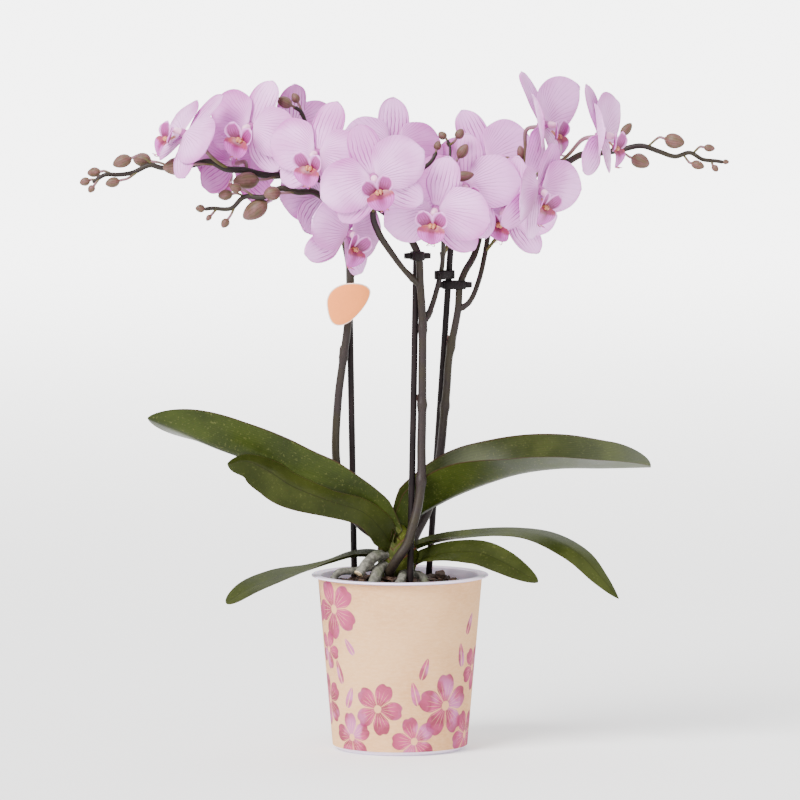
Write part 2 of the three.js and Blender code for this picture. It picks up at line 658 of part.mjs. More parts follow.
// Blooms: the middle of the flower, its face as bearing, climb and roll in degrees (bearing 0 looks at the
// viewer and 90 along +X, and roll turns the top), and the stem and place that its stalk grows from. size
// makes its tepals longer and wider than usual, sepals and petals give the angles of those that grew askew,
// and forward is how far its right and left petal's tips come forward.
const BLOOMS = {
  bloom_far_left: { at: [-112, -12, 323], face: [-62, 32, -18], stem: 'centre_far', share: 0.56 },
  bloom_left: { at: [-77.8, -7, 326.4], face: [-28, 5, -20], size: 0.93, stem: 'centre_far', share: 0.4 },
  bloom_left_front: {
    at: [-42.7, -34, 313.8],
    face: [-27, 0, -10],
    sepals: [81, 224, 322],
    petals: [1, 178],
    stem: 'left_low',
    share: 0.3,
  },
  bloom_left_back: { at: [-59, 26, 322], face: [-150, 12, -4], stem: 'left_high', share: 0.66 },
  bloom_centre: {
    at: [-13.4, -52, 302.1],
    face: [2, -1, 18],
    sepals: [92, 214, 317],
    petals: [11, 183],
    stem: 'centre_left',
    share: 0.5,
  },
  bloom_top: { at: [-3.8, -8, 314.6], face: [22, 6, -6], stem: 'centre_far', share: 0.1 },
  bloom_under_left: { at: [-27, -26, 272], face: [50, -5, -12], stem: 'left_main', share: 0.985 },
  bloom_centre_right: {
    at: [18.5, -37, 284.7],
    face: [-12, -4, -5],
    sepals: [80, 210, 315],
    petals: [-9, 204],
    stem: 'centre_right',
    share: 0.52,
  },
  bloom_right_back: { at: [44.4, 15.7, 308.6], face: [24, 5, 18], stem: 'right_main', share: 0.86 },
  bloom_right: {
    at: [75, -4, 327.3],
    face: [66, 13, 4],
    size: 1.06,
    sepals: [90, 222, 318],
    petals: [28, 172],
    forward: [12, 12],
    stem: 'right_far',
    share: 0.12,
  },
  bloom_far_right: {
    at: [104.5, -25, 322.6],
    face: [68, 9, 2],
    size: 0.98,
    sepals: [90, 217, 323],
    petals: [34, 172],
    forward: [2, 12],
    stem: 'right_far',
    share: 0.24,
  },
  bloom_right_low: {
    at: [71.5, -40, 295],
    face: [52, -10, -8],
    sepals: [58, 228, 296],
    petals: [8, 196],
    forward: [4, 10],
    stem: 'right_far',
    share: 0.2,
  },
  bloom_under_right: {
    at: [56.3, -4.6, 284.2],
    face: [-35, -15, -15],
    sepals: [90, 216, 306],
    petals: [6, 182],
    forward: [-2.6, 4],
    stem: 'right_side',
    share: 0.5,
  },
  bloom_far_left_back: { at: [-88, 28, 306], face: [-140, -8, 10], stem: 'centre_far', share: 0.5 },
  bloom_low_back: { at: [-41.5, 24, 288.5], face: [-140, -20, -8], stem: 'left_high', share: 0.3 },
  bloom_right_middle: {
    at: [34.2, -13, 295.4],
    face: [-4, 2, 2],
    sepals: [90, 216, 292],
    petals: [6, 172],
    stem: 'centre_right',
    share: 0.36,
  },
};

const stemCurves = mapValues(STEMS, ({ path }) => curveThrough(path));

// The column, from behind the flower to its blunt tip: y, z and the radius of each section.
const COLUMN = [
  [0, -3, 2.4],
  [0, 1.6, 3.6],
  [-1.2, 7.6, 1.9],
];

// A bloom's own frame: X to the flower's left as it looks out, Y to its top, Z out of its face.
function bloomMatrix({ at, face: [bearing, climb, roll] }) {
  const [b, c] = [rad(bearing), rad(climb)];
  const out = vec([Math.sin(b) * Math.cos(c), -Math.cos(b) * Math.cos(c), Math.sin(c)]);
  const up = vec([0, 0, 1]).addScaledVector(out, -out.z).normalize().applyAxisAngle(out, rad(roll));
  const across = new THREE.Vector3().crossVectors(up, out);
  return new THREE.Matrix4().makeBasis(across, up, out).setPosition(vec(at));
}

// A stem with a swollen node at each sheath.
function stemSolid({ radius, sheaths, path }, curve, grow = 0) {
  const radiusAt = (t) => {
    const swelling = sheaths.reduce((sum, s) => sum + Math.exp(-(((t - s) / STEM.nodeSpan) ** 2)), 0);
    return grow + mix(radius[0], radius[1], t) * (1 + STEM.nodeSwelling * swelling);
  };
  return solidOf(tube(curve, radiusAt, STEM.sides, path.length - 1));
}

// A bud and its stalk in one skin, from inside the stem to the bud's tip.
function budSolid({ stem, share, at, size: [length, width], rise }) {
  const start = stemCurves[stem].getPointAt(share);
  const bend = start.clone().lerp(vec(at), BUD_FORM.stalkBend).add(vec([0, 0, rise]));
  const pointing = vec(at).sub(bend).normalize();
  const seat = vec(at).addScaledVector(pointing, -length / 2);
  const middles = [start, bend.lerp(seat, 0.2)];
  const radii = [BUD_FORM.stalkRadius, BUD_FORM.stalkRadius];
  for (const [t, widthShare] of BUD_SECTIONS) {
    middles.push(seat.clone().addScaledVector(pointing, t * length));
    radii.push((widthShare * width) / 2);
  }
  const last = middles.length - 1;
  const side = new THREE.Vector3().crossVectors(pointing, vec([0.31, 0.95, 0.05])).normalize();
  const rings = middles.map((middle, i) => {
    const along = middles[Math.min(i + 1, last)].clone().sub(middles[Math.max(i - 1, 0)]).normalize();
    const across = side.clone().addScaledVector(along, -side.dot(along)).normalize();
    const other = new THREE.Vector3().crossVectors(along, across);
    const ring = [];
    for (let j = 0; j < BUD_FORM.sides; j++) {
      const a = (2 * Math.PI * j) / BUD_FORM.sides;
      const [x, y] = [radii[i] * Math.cos(a), radii[i] * Math.sin(a)];
      ring.push(middle.clone().addScaledVector(across, x).addScaledVector(other, y));
    }
    return ring;
  });
  return solidOf(skin(rings));
}

// The stalk of a bloom, from its stem to just behind the flower.
function stalkSolid(bloom) {
  const matrix = bloomMatrix(bloom);
  const back = (z) => vec([0, 0, z]).applyMatrix4(matrix);
  const start = stemCurves[bloom.stem].getPointAt(bloom.share);
  const columnBack = COLUMN[0][1];
  const seat = back(columnBack - GAP);
  const near = back(columnBack - STALK.reach);
  const sagging = start.clone().lerp(near, 0.5).add(vec([0, 0, -STALK.sag]));
  const curve = curveThrough([start, sagging, near, seat].map((p) => p.toArray()));
  return solidOf(tube(curve, (t) => mix(...STALK.radius, t), STALK.sides, STALK.steps));
}

function spikeSolid(side, grow = 0) {
  const stems = Object.entries(STEMS).filter(([, stem]) => stem.spike === side);
  const parts = stems.map(([name, stem]) => stemSolid(stem, stemCurves[name], grow));
  if (!grow) {
    const mine = ({ stem }) => STEMS[stem].spike === side;
    parts.push(...BUDS.filter(mine).map(budSolid), ...Object.values(BLOOMS).filter(mine).map(stalkSolid));
  }
  return fuse(parts);
}

// ---------------------------------------------------------------- blooms

const TEPAL = { thickness: 0.8, root: 1.2, bend: 1.1 };

// Sepals and petals: where each points round the flower, in degrees, with a random turn on top, how much
// fuller its upper side is, the stations along it, its width by the share u of its length, its distance in
// front of the hub, how far the tip bends forward, and how far the sides do.
const SEPAL = {
  angles: [90, 216, 324],
  turn: 3,
  length: 29.5,
  halfWidth: 8.8,
  across: 1,
  rise: 0,
  stations: [0, 0.34, 0.72, 1],
  outline: (u) => mix(0.2, 1, step(u, -0.08, 0.42)) * (1 - Math.max(0, (u - 0.45) / 0.565) ** 2.2) ** 0.6,
  depth: -1.6,
  sweep: -3.4,
  cup: 0,
};
const PETAL = {
  angles: [6, 174],
  turn: 2.5,
  length: 29.5,
  halfWidth: 13.8,
  across: 2,
  rise: 0.1,
  stations: [0, 0.3, 0.58, 0.86, 1],
  outline: (u) => mix(0.13, 1, step(u, -0.04, 0.42)) * Math.sqrt(1 - Math.max(0, (u - 0.5) / 0.52) ** 2),
  depth: 1,
  sweep: -2.6,
  cup: -0.9,
};

function tepal({ angle, length, halfWidth, stations, outline, across, rise, depth, sweep, cup }) {
  const along = vec([Math.cos(rad(angle)), Math.sin(rad(angle)), 0]);
  const side = vec([-along.y, along.x, 0]);
  const grid = stations.map((u) => {
    const row = [];
    for (let j = 0; j <= across; j++) {
      const v = (2 * j) / across - 1;
      const reach = halfWidth * outline(u);
      row.push(
        along
          .clone()
          .multiplyScalar(mix(TEPAL.root, length, u) * (1 - 0.03 * v * v))
          .addScaledVector(side, (v + rise * Math.sign(along.x)) * reach)
          .add(vec([0, 0, depth + sweep * u * u + cup * v * v * (reach / halfWidth)])),
      );
    }
    return row;
  });
  return solidOf(blade(grid, () => TEPAL.thickness));
}

// Three sepals behind two broad petals, joined by the foot of the column.
function flower({ size = 1, sepals = SEPAL.angles, petals = PETAL.angles, forward }, seed) {
  const tepals = [
    ...sepals.map((angle) => ({ ...SEPAL, angle })),
    ...petals.map((angle, n) => ({ ...PETAL, angle, sweep: forward ? forward[n] : PETAL.sweep })),
  ];
  const grown = tepals.map((shape, n) => {
    const angle = shape.angle + shape.turn * draw(seed * 31 + n);
    const sweep = shape.sweep + TEPAL.bend * draw(seed * 17 + n);
    const [length, halfWidth] = [size * shape.length, size * shape.halfWidth];
    return tepal({ ...shape, angle, sweep, length, halfWidth });
  });
  const column = COLUMN.map(([y, z, radius]) => {
    const ring = [];
    for (let j = 0; j < 4; j++) {
      const a = (Math.PI * (j + 0.5)) / 2;
      ring.push(vec([radius * Math.cos(a), y + radius * Math.sin(a), z]));
    }
    return ring;
  });
  return fuse([solidOf(skin(column)), ...grown]);
}

// The lip: a broad middle lobe that hangs from a claw under the column, and two upright side lobes. Each
// row is x, y, z and the half width there.
const LIP = {
  middle: [[0, -3.6, 3.6, 1.2], [0, -7.4, 5.6, 1.9], [0, -11.8, 7.2, 7.4], [0, -18.6, 4.6, 3]],
  side: [[1.3, -5.4, 4.8, 1.3], [5.8, -4.8, 7.4, 4], [8.6, -3.2, 10.2, 2.4]],
};

function lobe(rows, across, sideways, cup) {
  const grid = rows.map(([x, y, z, reach]) =>
    Array.from({ length: across + 1 }, (_, j) => {
      const v = (2 * j) / across - 1;
      return vec([x, y, z]).addScaledVector(sideways, v * reach).add(vec([0, 0, cup * v * v]));
    }),
  );
  return solidOf(blade(grid, () => TEPAL.thickness));
}

function lip() {
  const mirrored = LIP.side.map(([x, ...rest]) => [-x, ...rest]);
  return fuse([
    lobe(LIP.middle, 2, vec([1, 0, 0]), 1.6),
    lobe(LIP.side, 1, vec([0.35, 0.9, -0.25]).normalize(), 0),
    lobe(mirrored, 1, vec([0.35, -0.9, 0.25]).normalize(), 0),
  ]);
}

// ---------------------------------------------------------------- stakes, clips and tag

// Support stakes as straight lines: their place at the foot and at the top.
const STAKES = {
  stake_left: [[-23.8, 16.8, STAKE.foot], [-26.8, 9.3, 258]],
  stake_centre: [[4.9, -13.4, STAKE.foot], [8.6, -4.5, 264]],
  stake_right: [[14, 25, STAKE.foot], [26.8, 3.8, 268]],
};

function stake(ends, grow = 0) {
  return solidOf(tube(new THREE.LineCurve3(...ends.map(vec)), () => STAKE.radius + grow, STAKE.sides, 1));
}

// Where a straight stake is at a height.
function stakeAt([foot, top], z) {
  return vec(foot).lerp(vec(top), (z - foot[2]) / (top[2] - foot[2]));
}

// Where a stem is at a height, found along its curve.
function stemAt(name, z) {
  const points = stemCurves[name].getSpacedPoints(400);
  return points.reduce((best, p) => (Math.abs(p.z - z) < Math.abs(best.z - z) ? p : best));
}

const CLIP = { height: 4.6, wall: 1.2 };
const WING = { length: 3.6, root: 1.5, thickness: 1.3, height: 3.4 };

// A spring clip round two round pieces side by side: a stadium with two finger wings, turned away from the
// line between the pieces. The holes are cut by the pieces themselves, grown by the clearance.
function clip(a, radiusA, b, radiusB, { height, turn }, held) {
  const bearing = Math.atan2(b.y - a.y, b.x - a.x);
  const reach = a.distanceTo(b) / 2;
  const end = Math.max(radiusA, radiusB) + GAP + CLIP.wall;
  const outline = new THREE.Shape();
  outline.absarc(reach, 0, end, -Math.PI / 2, Math.PI / 2);
  outline.absarc(-reach, 0, end, Math.PI / 2, (3 * Math.PI) / 2);
  outline.closePath();
  const place = (g) => g.rotateZ(bearing).translate((a.x + b.x) / 2, (a.y + b.y) / 2, height);
  const parts = [solidOf(place(prism(outline, CLIP.height, 3).translate(0, 0, -CLIP.height / 2)))];
  for (const side of [-1, 1]) {
    const wing = new THREE.BoxGeometry(WING.length + WING.root, WING.thickness, WING.height);
    const out = side * (reach * Math.cos(turn) + end + (WING.length - WING.root) / 2);
    parts.push(solidOf(place(wing.translate(out, 0, 0).rotateZ(turn))));
  }
  return largest(fuse(parts).subtract(fuse(held)));
}

const TAG = { at: [-27.2, 0.4, 233.6], thickness: 0.7, tilt: 6 };
const STRAP = { halfWidth: 4.4, length: 8.1, thickness: 0.7, height: 3.2, aside: 0.6 };

// The hanging card: a rounded, lopsided triangle like a pebble, and the strap folded back from it that goes
// round the stem and its stake.
function tag(held) {
  const outline = new THREE.Shape();
  outline.moveTo(-11.2, -0.5);
  outline.bezierCurveTo(-12, 6, -7, 11, 1.5, 11.2);
  outline.bezierCurveTo(8, 11.5, 12.2, 9.4, 11.8, 6);
  outline.bezierCurveTo(11.2, 1, 5.5, -5.6, 1, -9);
  outline.bezierCurveTo(-3, -11.6, -7, -12, -9, -8.8);
  outline.bezierCurveTo(-10.3, -6.6, -10.8, -4, -11.2, -0.5);
  const card = prism(outline, TAG.thickness, 4);
  card.rotateX(Math.PI / 2).rotateZ(rad(TAG.tilt)).translate(...TAG.at);
  const [x, y, z] = TAG.at;
  const band = strapShape(STRAP.halfWidth, -TAG.thickness / 2, STRAP.height);
  const space = strapShape(STRAP.halfWidth - STRAP.thickness, TAG.thickness, STRAP.height + 2);
  const loop = solidOf(band.translate(x + STRAP.aside, y, z));
  const inside = solidOf(space.translate(x + STRAP.aside, y, z - 1));
  return largest(solidOf(card).add(loop.subtract(inside)).subtract(fuse(held)));
}

// An upright prism with the plan of the strap: straight from the card, then round behind the stem.
function strapShape(halfWidth, near, height) {
  const plan = new THREE.Shape();
  plan.moveTo(-halfWidth, near);
  plan.lineTo(halfWidth, near);
  plan.lineTo(halfWidth, STRAP.length);
  plan.absarc(0, STRAP.length, halfWidth, 0, Math.PI);
  plan.closePath();
  return prism(plan, height, 3);
}

// ---------------------------------------------------------------- the whole plant

const orchid = new THREE.Group();

function show(name, solid, look, parent = orchid) {
  const mesh = new THREE.Mesh(geometryOf(solid), LOOKS[look]);
  mesh.name = name;
  parent.add(mesh);
}

const rootNames = Object.keys(ROOTS);
const sides = ['left', 'centre', 'right'];
const grownSpikes = Object.fromEntries(sides.map((side) => [side, spikeSolid(side, GAP)]));
const grownStakes = mapValues(STAKES, (ends) => stake(ends, GAP));
const grownCrown = crown(GAP);
const grownRoots = rootNames.map((name) => root(ROOTS[name], GAP));

show('pot', pot(), 'pot');
show('sleeve', sleeve(), 'sleeve');
show('soil', soil([grownCrown, ...grownRoots, ...Object.values(grownStakes), grownSpikes.centre]), 'soil');
show('crown', largest(crown().subtract(fuse(Object.values(grownSpikes)))), 'crown');
for (const name of rootNames) show(name, largest(root(ROOTS[name]).subtract(grownCrown)), 'root');
for (const [name, shape] of Object.entries(LEAVES)) {
  show(name, largest(leaf(shape).subtract(grownCrown)), 'leaf');
}
for (const side of sides) show(`spike_${side}`, spikeSolid(side), 'spike');
for (const [name, ends] of Object.entries(STAKES)) show(name, stake(ends), 'stake');

// Each clip's stem and stake, its height, and how far its wings are turned.
const CLIPS = {
  clip_centre: { stem: 'centre_main', held: 1.9, stake: 'stake_centre', height: 259.5, turn: 1.4 },
  clip_branch: { stem: 'centre_right', held: 1.6, stake: 'stake_right', height: 249, turn: 0.35 },
  clip_right: { stem: 'right_main', held: 1.7, stake: 'stake_right', height: 243.6, turn: 0.35 },
};
for (const [name, fixing] of Object.entries(CLIPS)) {
  const { stem, held, stake: post, height } = fixing;
  const around = [grownSpikes[STEMS[stem].spike], grownStakes[post]];
  const [stemPlace, stakePlace] = [stemAt(stem, height), stakeAt(STAKES[post], height)];
  show(name, clip(stemPlace, held, stakePlace, STAKE.radius, fixing, around), 'clip');
}
show('tag', tag([grownSpikes.left, grownStakes.stake_left]), 'tag');

Object.entries(BLOOMS).forEach(([name, bloom], n) => {
  const place = new THREE.Group();
  place.applyMatrix4(bloomMatrix(bloom));
  show(name, flower(bloom, n + 1), 'petal', place);
  show(`${name}_lip`, lip(), 'lip', place);
  orchid.add(place);
});

export default orchid;
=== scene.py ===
import math
import random

import bpy
import numpy as np
from mathutils import Matrix, Vector, noise


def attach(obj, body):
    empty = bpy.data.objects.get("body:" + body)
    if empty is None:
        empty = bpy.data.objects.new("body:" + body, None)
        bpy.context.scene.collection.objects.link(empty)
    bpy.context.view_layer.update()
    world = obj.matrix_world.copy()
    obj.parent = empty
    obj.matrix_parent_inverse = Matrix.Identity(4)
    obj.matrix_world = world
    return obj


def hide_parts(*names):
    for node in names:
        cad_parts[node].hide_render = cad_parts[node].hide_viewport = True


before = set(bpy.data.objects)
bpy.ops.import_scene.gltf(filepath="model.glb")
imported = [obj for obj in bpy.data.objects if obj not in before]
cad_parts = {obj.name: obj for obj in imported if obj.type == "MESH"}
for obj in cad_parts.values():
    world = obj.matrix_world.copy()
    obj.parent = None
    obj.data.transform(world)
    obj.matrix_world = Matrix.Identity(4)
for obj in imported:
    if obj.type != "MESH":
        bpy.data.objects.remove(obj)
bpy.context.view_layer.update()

# Sizes are millimetres in the part's own frame, and meshes turn them into metres.
millimetre = 0.001

# The camera stands where the photograph was taken from, in metres.
view = {"location": (0, -3.2, 0.434), "target": (0, 0, 0.1835), "lens": 275.8, "sensor": 36}


def show(made):
    bpy.context.scene.collection.objects.link(made)
    return made


def aim(made, way):
    made.rotation_mode = "QUATERNION"
    made.rotation_quaternion = way.to_track_quat("-Z", "Y")


# A way out from the object: its bearing from the front and its climb, in degrees.
def facing(bearing, climb):
    bearing, climb = math.radians(bearing), math.radians(climb)
    level = math.cos(climb)
    return Vector((math.sin(bearing) * level, -math.cos(bearing) * level, math.sin(climb)))


def makeCamera():
    data = bpy.data.cameras.new("camera")
    data.lens = view["lens"]
    data.sensor_width = view["sensor"]
    camera = show(bpy.data.objects.new("camera", data))
    camera.location = view["location"]
    aim(camera, Vector(view["target"]) - Vector(view["location"]))
    bpy.context.scene.camera = camera


# Broad suns light plant and floor evenly: where each stands as bearing from the front and climb in degrees,
# its strength, how wide it is in degrees, and its colour.
lights = {
    "key": {"bearing": -40, "climb": 40, "strength": 6.6, "width": 32, "colour": (1, 0.99, 0.975)},
    "fill": {"bearing": 48, "climb": 20, "strength": 0.9, "width": 80, "colour": (0.97, 0.985, 1)},
    "top": {"bearing": 160, "climb": 62, "strength": 1.5, "width": 60, "colour": (1, 1, 1)},
}
# In metres: the floor's size, how far off the suns are put, and where the floor's painted glow starts and
# stops growing stronger towards the back.
studio = {
    "world": 0.9, "lampDistance": 3, "floor": 120, "glowFrom": 0.4, "glowTo": 5, "glow": (0.2, 3.2),
}


def makeLights():
    for name, light in lights.items():
        data = bpy.data.lights.new(name, "SUN")
        data.energy = light["strength"]
        data.angle = math.radians(light["width"])
        data.color = light["colour"]
        lamp = show(bpy.data.objects.new(name, data))
        way = facing(light["bearing"], light["climb"])
        lamp.location = studio["lampDistance"] * way
        aim(lamp, -way)
    world = bpy.data.worlds.new("studio")
    world.use_nodes = True
    background = world.node_tree.nodes["Background"]
    background.inputs["Color"].default_value = (1, 1, 1, 1)
    background.inputs["Strength"].default_value = studio["world"]
    bpy.context.scene.world = world


makeCamera()
makeLights()
print("camera and lights")


# Small helpers: random draws, curves and colours.

def draw(seed):
    s = math.sin(seed * 12.9898 + 4.1414) * 43758.5453
    return 2 * (s - math.floor(s)) - 1


def mix(a, b, t):
    return a + (b - a) * t


def smooth(x, low, high):
    t = np.clip((np.asarray(x, dtype=float) - low) / (high - low), 0, 1)
    return t * t * (3 - 2 * t)


def colour(code):
    channels = [int(code[i : i + 2], 16) / 255 for i in (1, 3, 5)]
    linear = [c / 12.92 if c <= 0.04045 else ((c + 0.055) / 1.055) ** 2.4 for c in channels]
    return (*linear, 1)


def unit(v):
    v = np.asarray(v, dtype=float)
    return v / max(np.linalg.norm(v), 1e-9)


# A smooth curve through the points (centripetal Catmull-Rom), as evenly spaced places on it.
def curveThrough(path, count):
    p = np.array(path, dtype=float)
    p = np.vstack([2 * p[0] - p[1], p, 2 * p[-1] - p[-2]])
    fine = []
    for i in range(1, len(p) - 2):
        knots = [0.0]
        for j in range(3):
            knots.append(knots[-1] + max(np.linalg.norm(p[i + j] - p[i + j - 1]), 1e-6) ** 0.5)
        t0, t1, t2, t3 = knots
        t = np.linspace(t1, t2, 24, endpoint=False)[:, None]
        a1 = (t1 - t) / (t1 - t0) * p[i - 1] + (t - t0) / (t1 - t0) * p[i]
        a2 = (t2 - t) / (t2 - t1) * p[i] + (t - t1) / (t2 - t1) * p[i + 1]
        a3 = (t3 - t) / (t3 - t2) * p[i + 1] + (t - t2) / (t3 - t2) * p[i + 2]
        b1 = (t2 - t) / (t2 - t0) * a1 + (t - t0) / (t2 - t0) * a2
        b2 = (t3 - t) / (t3 - t1) * a2 + (t - t1) / (t3 - t1) * a3
        fine.append((t2 - t) / (t2 - t1) * b1 + (t - t1) / (t2 - t1) * b2)
    fine = np.vstack([*fine, p[-2]])
    lengths = np.concatenate([[0], np.cumsum(np.linalg.norm(np.diff(fine, axis=0), axis=1))])
    places = np.linspace(0, lengths[-1], count)
    return np.stack([np.interp(places, lengths, fine[:, k]) for k in range(3)], axis=1)


def tangents(line):
    return np.array([unit(v) for v in np.gradient(line, axis=0)])


# The places on a surface of the points of its rings: each ring's share of the length, and the share of the
# turn.
def ringPlaces(shares, sides):
    return [[(share, j / sides) for j in range(sides)] for share in shares]


# Gathers points in millimetres, faces, a two-number place on the surface and a material for each face.
class Skin:
    def __init__(self):
        self.points = []
        self.faces = []
        self.places = []
        self.looks = []
        self.count = 0

    def add(self, points, faces, places, look=0):
        self.points.append(np.asarray(points, dtype=float))
        self.places.append(np.asarray(places, dtype=float))
        self.faces += [tuple(int(i) + self.count for i in face) for face in faces]
        self.looks += [look] * len(faces)
        self.count += len(points)

    # A skin through rings of points, closed at both ends or open.
    def loft(self, rings, places, look=0, ends=True):
        rings = np.asarray(rings, dtype=float)
        rows, columns = rings.shape[:2]
        faces = []
        for i in range(rows - 1):
            for j in range(columns):
                k = (j + 1) % columns
                a, b = i * columns, (i + 1) * columns
                faces.append((a + j, a + k, b + k, b + j))
        if ends:
            faces.append(tuple(range(columns - 1, -1, -1)))
            faces.append(tuple(range((rows - 1) * columns, rows * columns)))
        self.add(rings.reshape(-1, 3), faces, np.asarray(places).reshape(-1, 2), look)

    def tube(self, line, radii, sides, look=0, rib=None):
        line = np.asarray(line, dtype=float)
        radii = np.broadcast_to(radii, len(line))
        along = tangents(line)
        normal = unit(np.cross(along[0], (0.3, 0.95, 0.1)))
        angles = np.arange(sides) * 2 * math.pi / sides
        circle = np.cos(angles)[:, None], np.sin(angles)[:, None]
        rings = []
        for i, (centre, way) in enumerate(zip(line, along)):
            normal = unit(normal - way * normal.dot(way))
            other = np.cross(way, normal)
            reach = radii[i] * (1 + (rib(angles, i / (len(line) - 1)) if rib else 0))
            reach = np.broadcast_to(reach, sides)[:, None]
            rings.append(centre + reach * (circle[0] * normal + circle[1] * other))
        self.loft(rings, ringPlaces(np.arange(len(line)) / (len(line) - 1), sides), look)

    # A thin blade round a grid of middle points, thick in its middle and fine at its edges.
    def blade(self, grid, thickness, us, vs, look=0, backLook=None):
        grid = np.asarray(grid, dtype=float)
        across = np.gradient(grid, axis=1)
        along = np.gradient(grid, axis=0)
        normals = np.cross(along, across)
        normals /= np.maximum(np.linalg.norm(normals, axis=2, keepdims=True), 1e-9)
        half = np.broadcast_to(thickness, grid.shape[:2])[..., None] / 2
        half = half * np.sqrt(np.clip(1 - np.array(vs) ** 2, 0, 1))[None, :, None]
        front = grid + normals * half
        back = grid - normals * half
        rows, columns = grid.shape[:2]
        places = np.stack(np.meshgrid(us, (np.array(vs) + 1) / 2, indexing="ij"), axis=2)
        points = np.concatenate([front.reshape(-1, 3), back[:, 1:-1].reshape(-1, 3)])
        uv = np.concatenate([places.reshape(-1, 2), places[:, 1:-1].reshape(-1, 2)])
        inner = columns - 2

        def behind(i, j):
            return i * columns + j if j in (0, columns - 1) else rows * columns + i * inner + j - 1

        frontFaces, backFaces = [], []
        for i in range(rows - 1):
            for j in range(columns - 1):
                a = i * columns + j
                frontFaces.append((a, a + columns, a + columns + 1, a + 1))
                backFaces.append((behind(i, j), behind(i, j + 1), behind(i + 1, j + 1), behind(i + 1, j)))
        for i, order in ((0, 1), (rows - 1, -1)):
            for j in range(columns - 1):
                a, b = i * columns + j, i * columns + j + 1
                face = tuple(dict.fromkeys((a, b, behind(i, j + 1), behind(i, j))))
                if len(face) > 2:
                    frontFaces.append(face[::order])
        start = self.count
        self.add(points, frontFaces, uv, look)
        self.faces += [tuple(i + start for i in face) for face in backFaces]
        self.looks += [look if backLook is None else backLook] * len(backFaces)

    def move(self, matrix):
        turn = np.array(matrix)[:3, :3]
        shift = np.array(matrix)[:3, 3]
        self.points = [points @ turn.T + shift for points in self.points]
        return self

    # The finished object stands for its CAD nodes and rides with them.
    def piece(self, name, materials, nodes, slotName):
        mesh = bpy.data.meshes.new(name)
        mesh.from_pydata((np.vstack(self.points) * millimetre).tolist(), [], self.faces)
        for material in materials:
            mesh.materials.append(material)
        mesh.polygons.foreach_set("material_index", self.looks)
        mesh.polygons.foreach_set("use_smooth", [True] * len(mesh.polygons))
        corners = np.zeros(len(mesh.loops), dtype=np.int32)
        mesh.loops.foreach_get("vertex_index", corners)
        layer = mesh.uv_layers.new(name="place")
        layer.data.foreach_set("uv", np.vstack(self.places)[corners].astype(np.float32).ravel())
        mesh.update()
        made = show(bpy.data.objects.new(name, mesh))
        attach(made, "root")
        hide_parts(*nodes)
        return made


def spaced(count, low=-1.0, high=1.0):
    # closer together near both ends, where an edge is round
    return mix(low, high, (1 - np.cos(np.linspace(0, math.pi, count))) / 2)


# A pattern's scale from the size of its grain in millimetres.
def every(size):
    return 1 / (size * millimetre)


def plug(tree, socket, value):
    if isinstance(value, bpy.types.NodeSocket):
        tree.links.new(value, socket)
    else:
        socket.default_value = value


# What some nodes are set to unless a call says otherwise.
usual = {
    "Mix": {"data_type": "RGBA"},
    "MapRange": {"interpolation_type": "SMOOTHSTEP"},
    "TexNoise": {"Roughness": 0.55},
}


# Adds a node and gives back its first output in use. Its kind can name its operation, as in "Math ADD".
# Values and other nodes' outputs go to its sockets, in their order or by name, and names in small letters
# are its settings.
def add(tree, kind, *values, **named):
    kind, _, operation = kind.partition(" ")
    made = tree.nodes.new("ShaderNode" + kind)
    if operation:
        made.operation = operation
    given = {**usual.get(kind, {}), **named}
    for key in [key for key in given if key[0].islower()]:
        setattr(made, key, given.pop(key))
    pairs = [(made.inputs[key], value) for key, value in given.items()]
    pairs += zip([socket for socket in made.inputs if socket.enabled], values)
    for socket, value in pairs:
        plug(tree, socket, value)
    return next(socket for socket in made.outputs if socket.enabled)


# A new material, its nodes, the object's coordinates, and the place on the surface: u along it and v across.
def blank(name):
    material = bpy.data.materials.new(name)
    material.use_nodes = True
    tree = material.node_tree
    where = add(tree, "TexCoord").node.outputs["Object"]
    place = add(tree, "SeparateXYZ", add(tree, "UVMap", uv_map="place")).node.outputs
    return material, tree, where, place[0], place[1]


def finish(material, values):
    tree = material.node_tree
    for key, value in values.items():
        plug(tree, tree.nodes["Principled BSDF"].inputs[key], value)
    return material


# Petals and sepals. The frame of a bloom has X to the side, Y to its top and Z out of its face.
bloomShape = {
    "petal": {"angles": (6, 174), "turn": 2.5, "length": 29.3, "halfWidth": 13.9, "rise": 0.1, "depth": 1.0,
              "sweep": -2.6, "cup": -0.9, "rows": 26, "columns": 21},
    "sepal": {"angles": (90, 216, 324), "turn": 3.0, "length": 28.5, "halfWidth": 8.9, "rise": 0.0,
              "depth": -1.6, "sweep": -3.4, "cup": 0.5, "rows": 22, "columns": 13},
    "thickness": 0.7, "start": 1.2, "bend": 1.1, "ripple": 0.45, "crease": 0.35, "creaseWidth": 0.1,
}
# The deep pink serves both random patches and the painted shade at each tepal's edges; the throat pink is
# painted shade at the base.
bloomColours = {
    "petal": "#F5B4F3",
    "petalDeepAndShade": "#B956AC",
    "throatShade": "#EAAEE4",
    "vein": "#9A328E",
    "column": "#A55393",
    "columnPale": "#D58FC9",
    "cap": "#F6BFDD",
}


def petalOutline(u, v):
    # the half towards the top of the bloom is the fuller one near its base
    full = mix(0.3, 0.5, (v + 1) / 2)
    rise = 1 - np.clip((0.5 - u) / 0.5, 0, 1) ** mix(2.2, 3.2, (v + 1) / 2)
    claw = mix(full, 1, smooth(u, 0.0, 0.16))
    tip = np.sqrt(np.clip(1 - (np.clip(u - 0.5, 0, 1) / 0.5) ** 2.1, 0, 1))
    return np.where(u < 0.5, claw * np.sqrt(np.clip(rise, 0.02, 1)), tip)


def sepalOutline(u, v):
    claw = mix(0.24, 1, smooth(u, -0.08, 0.46))
    tip = np.clip(1 - np.clip((u - 0.48) / 0.52, 0, 1) ** 2.5, 0, 1) ** 0.44
    return claw * tip


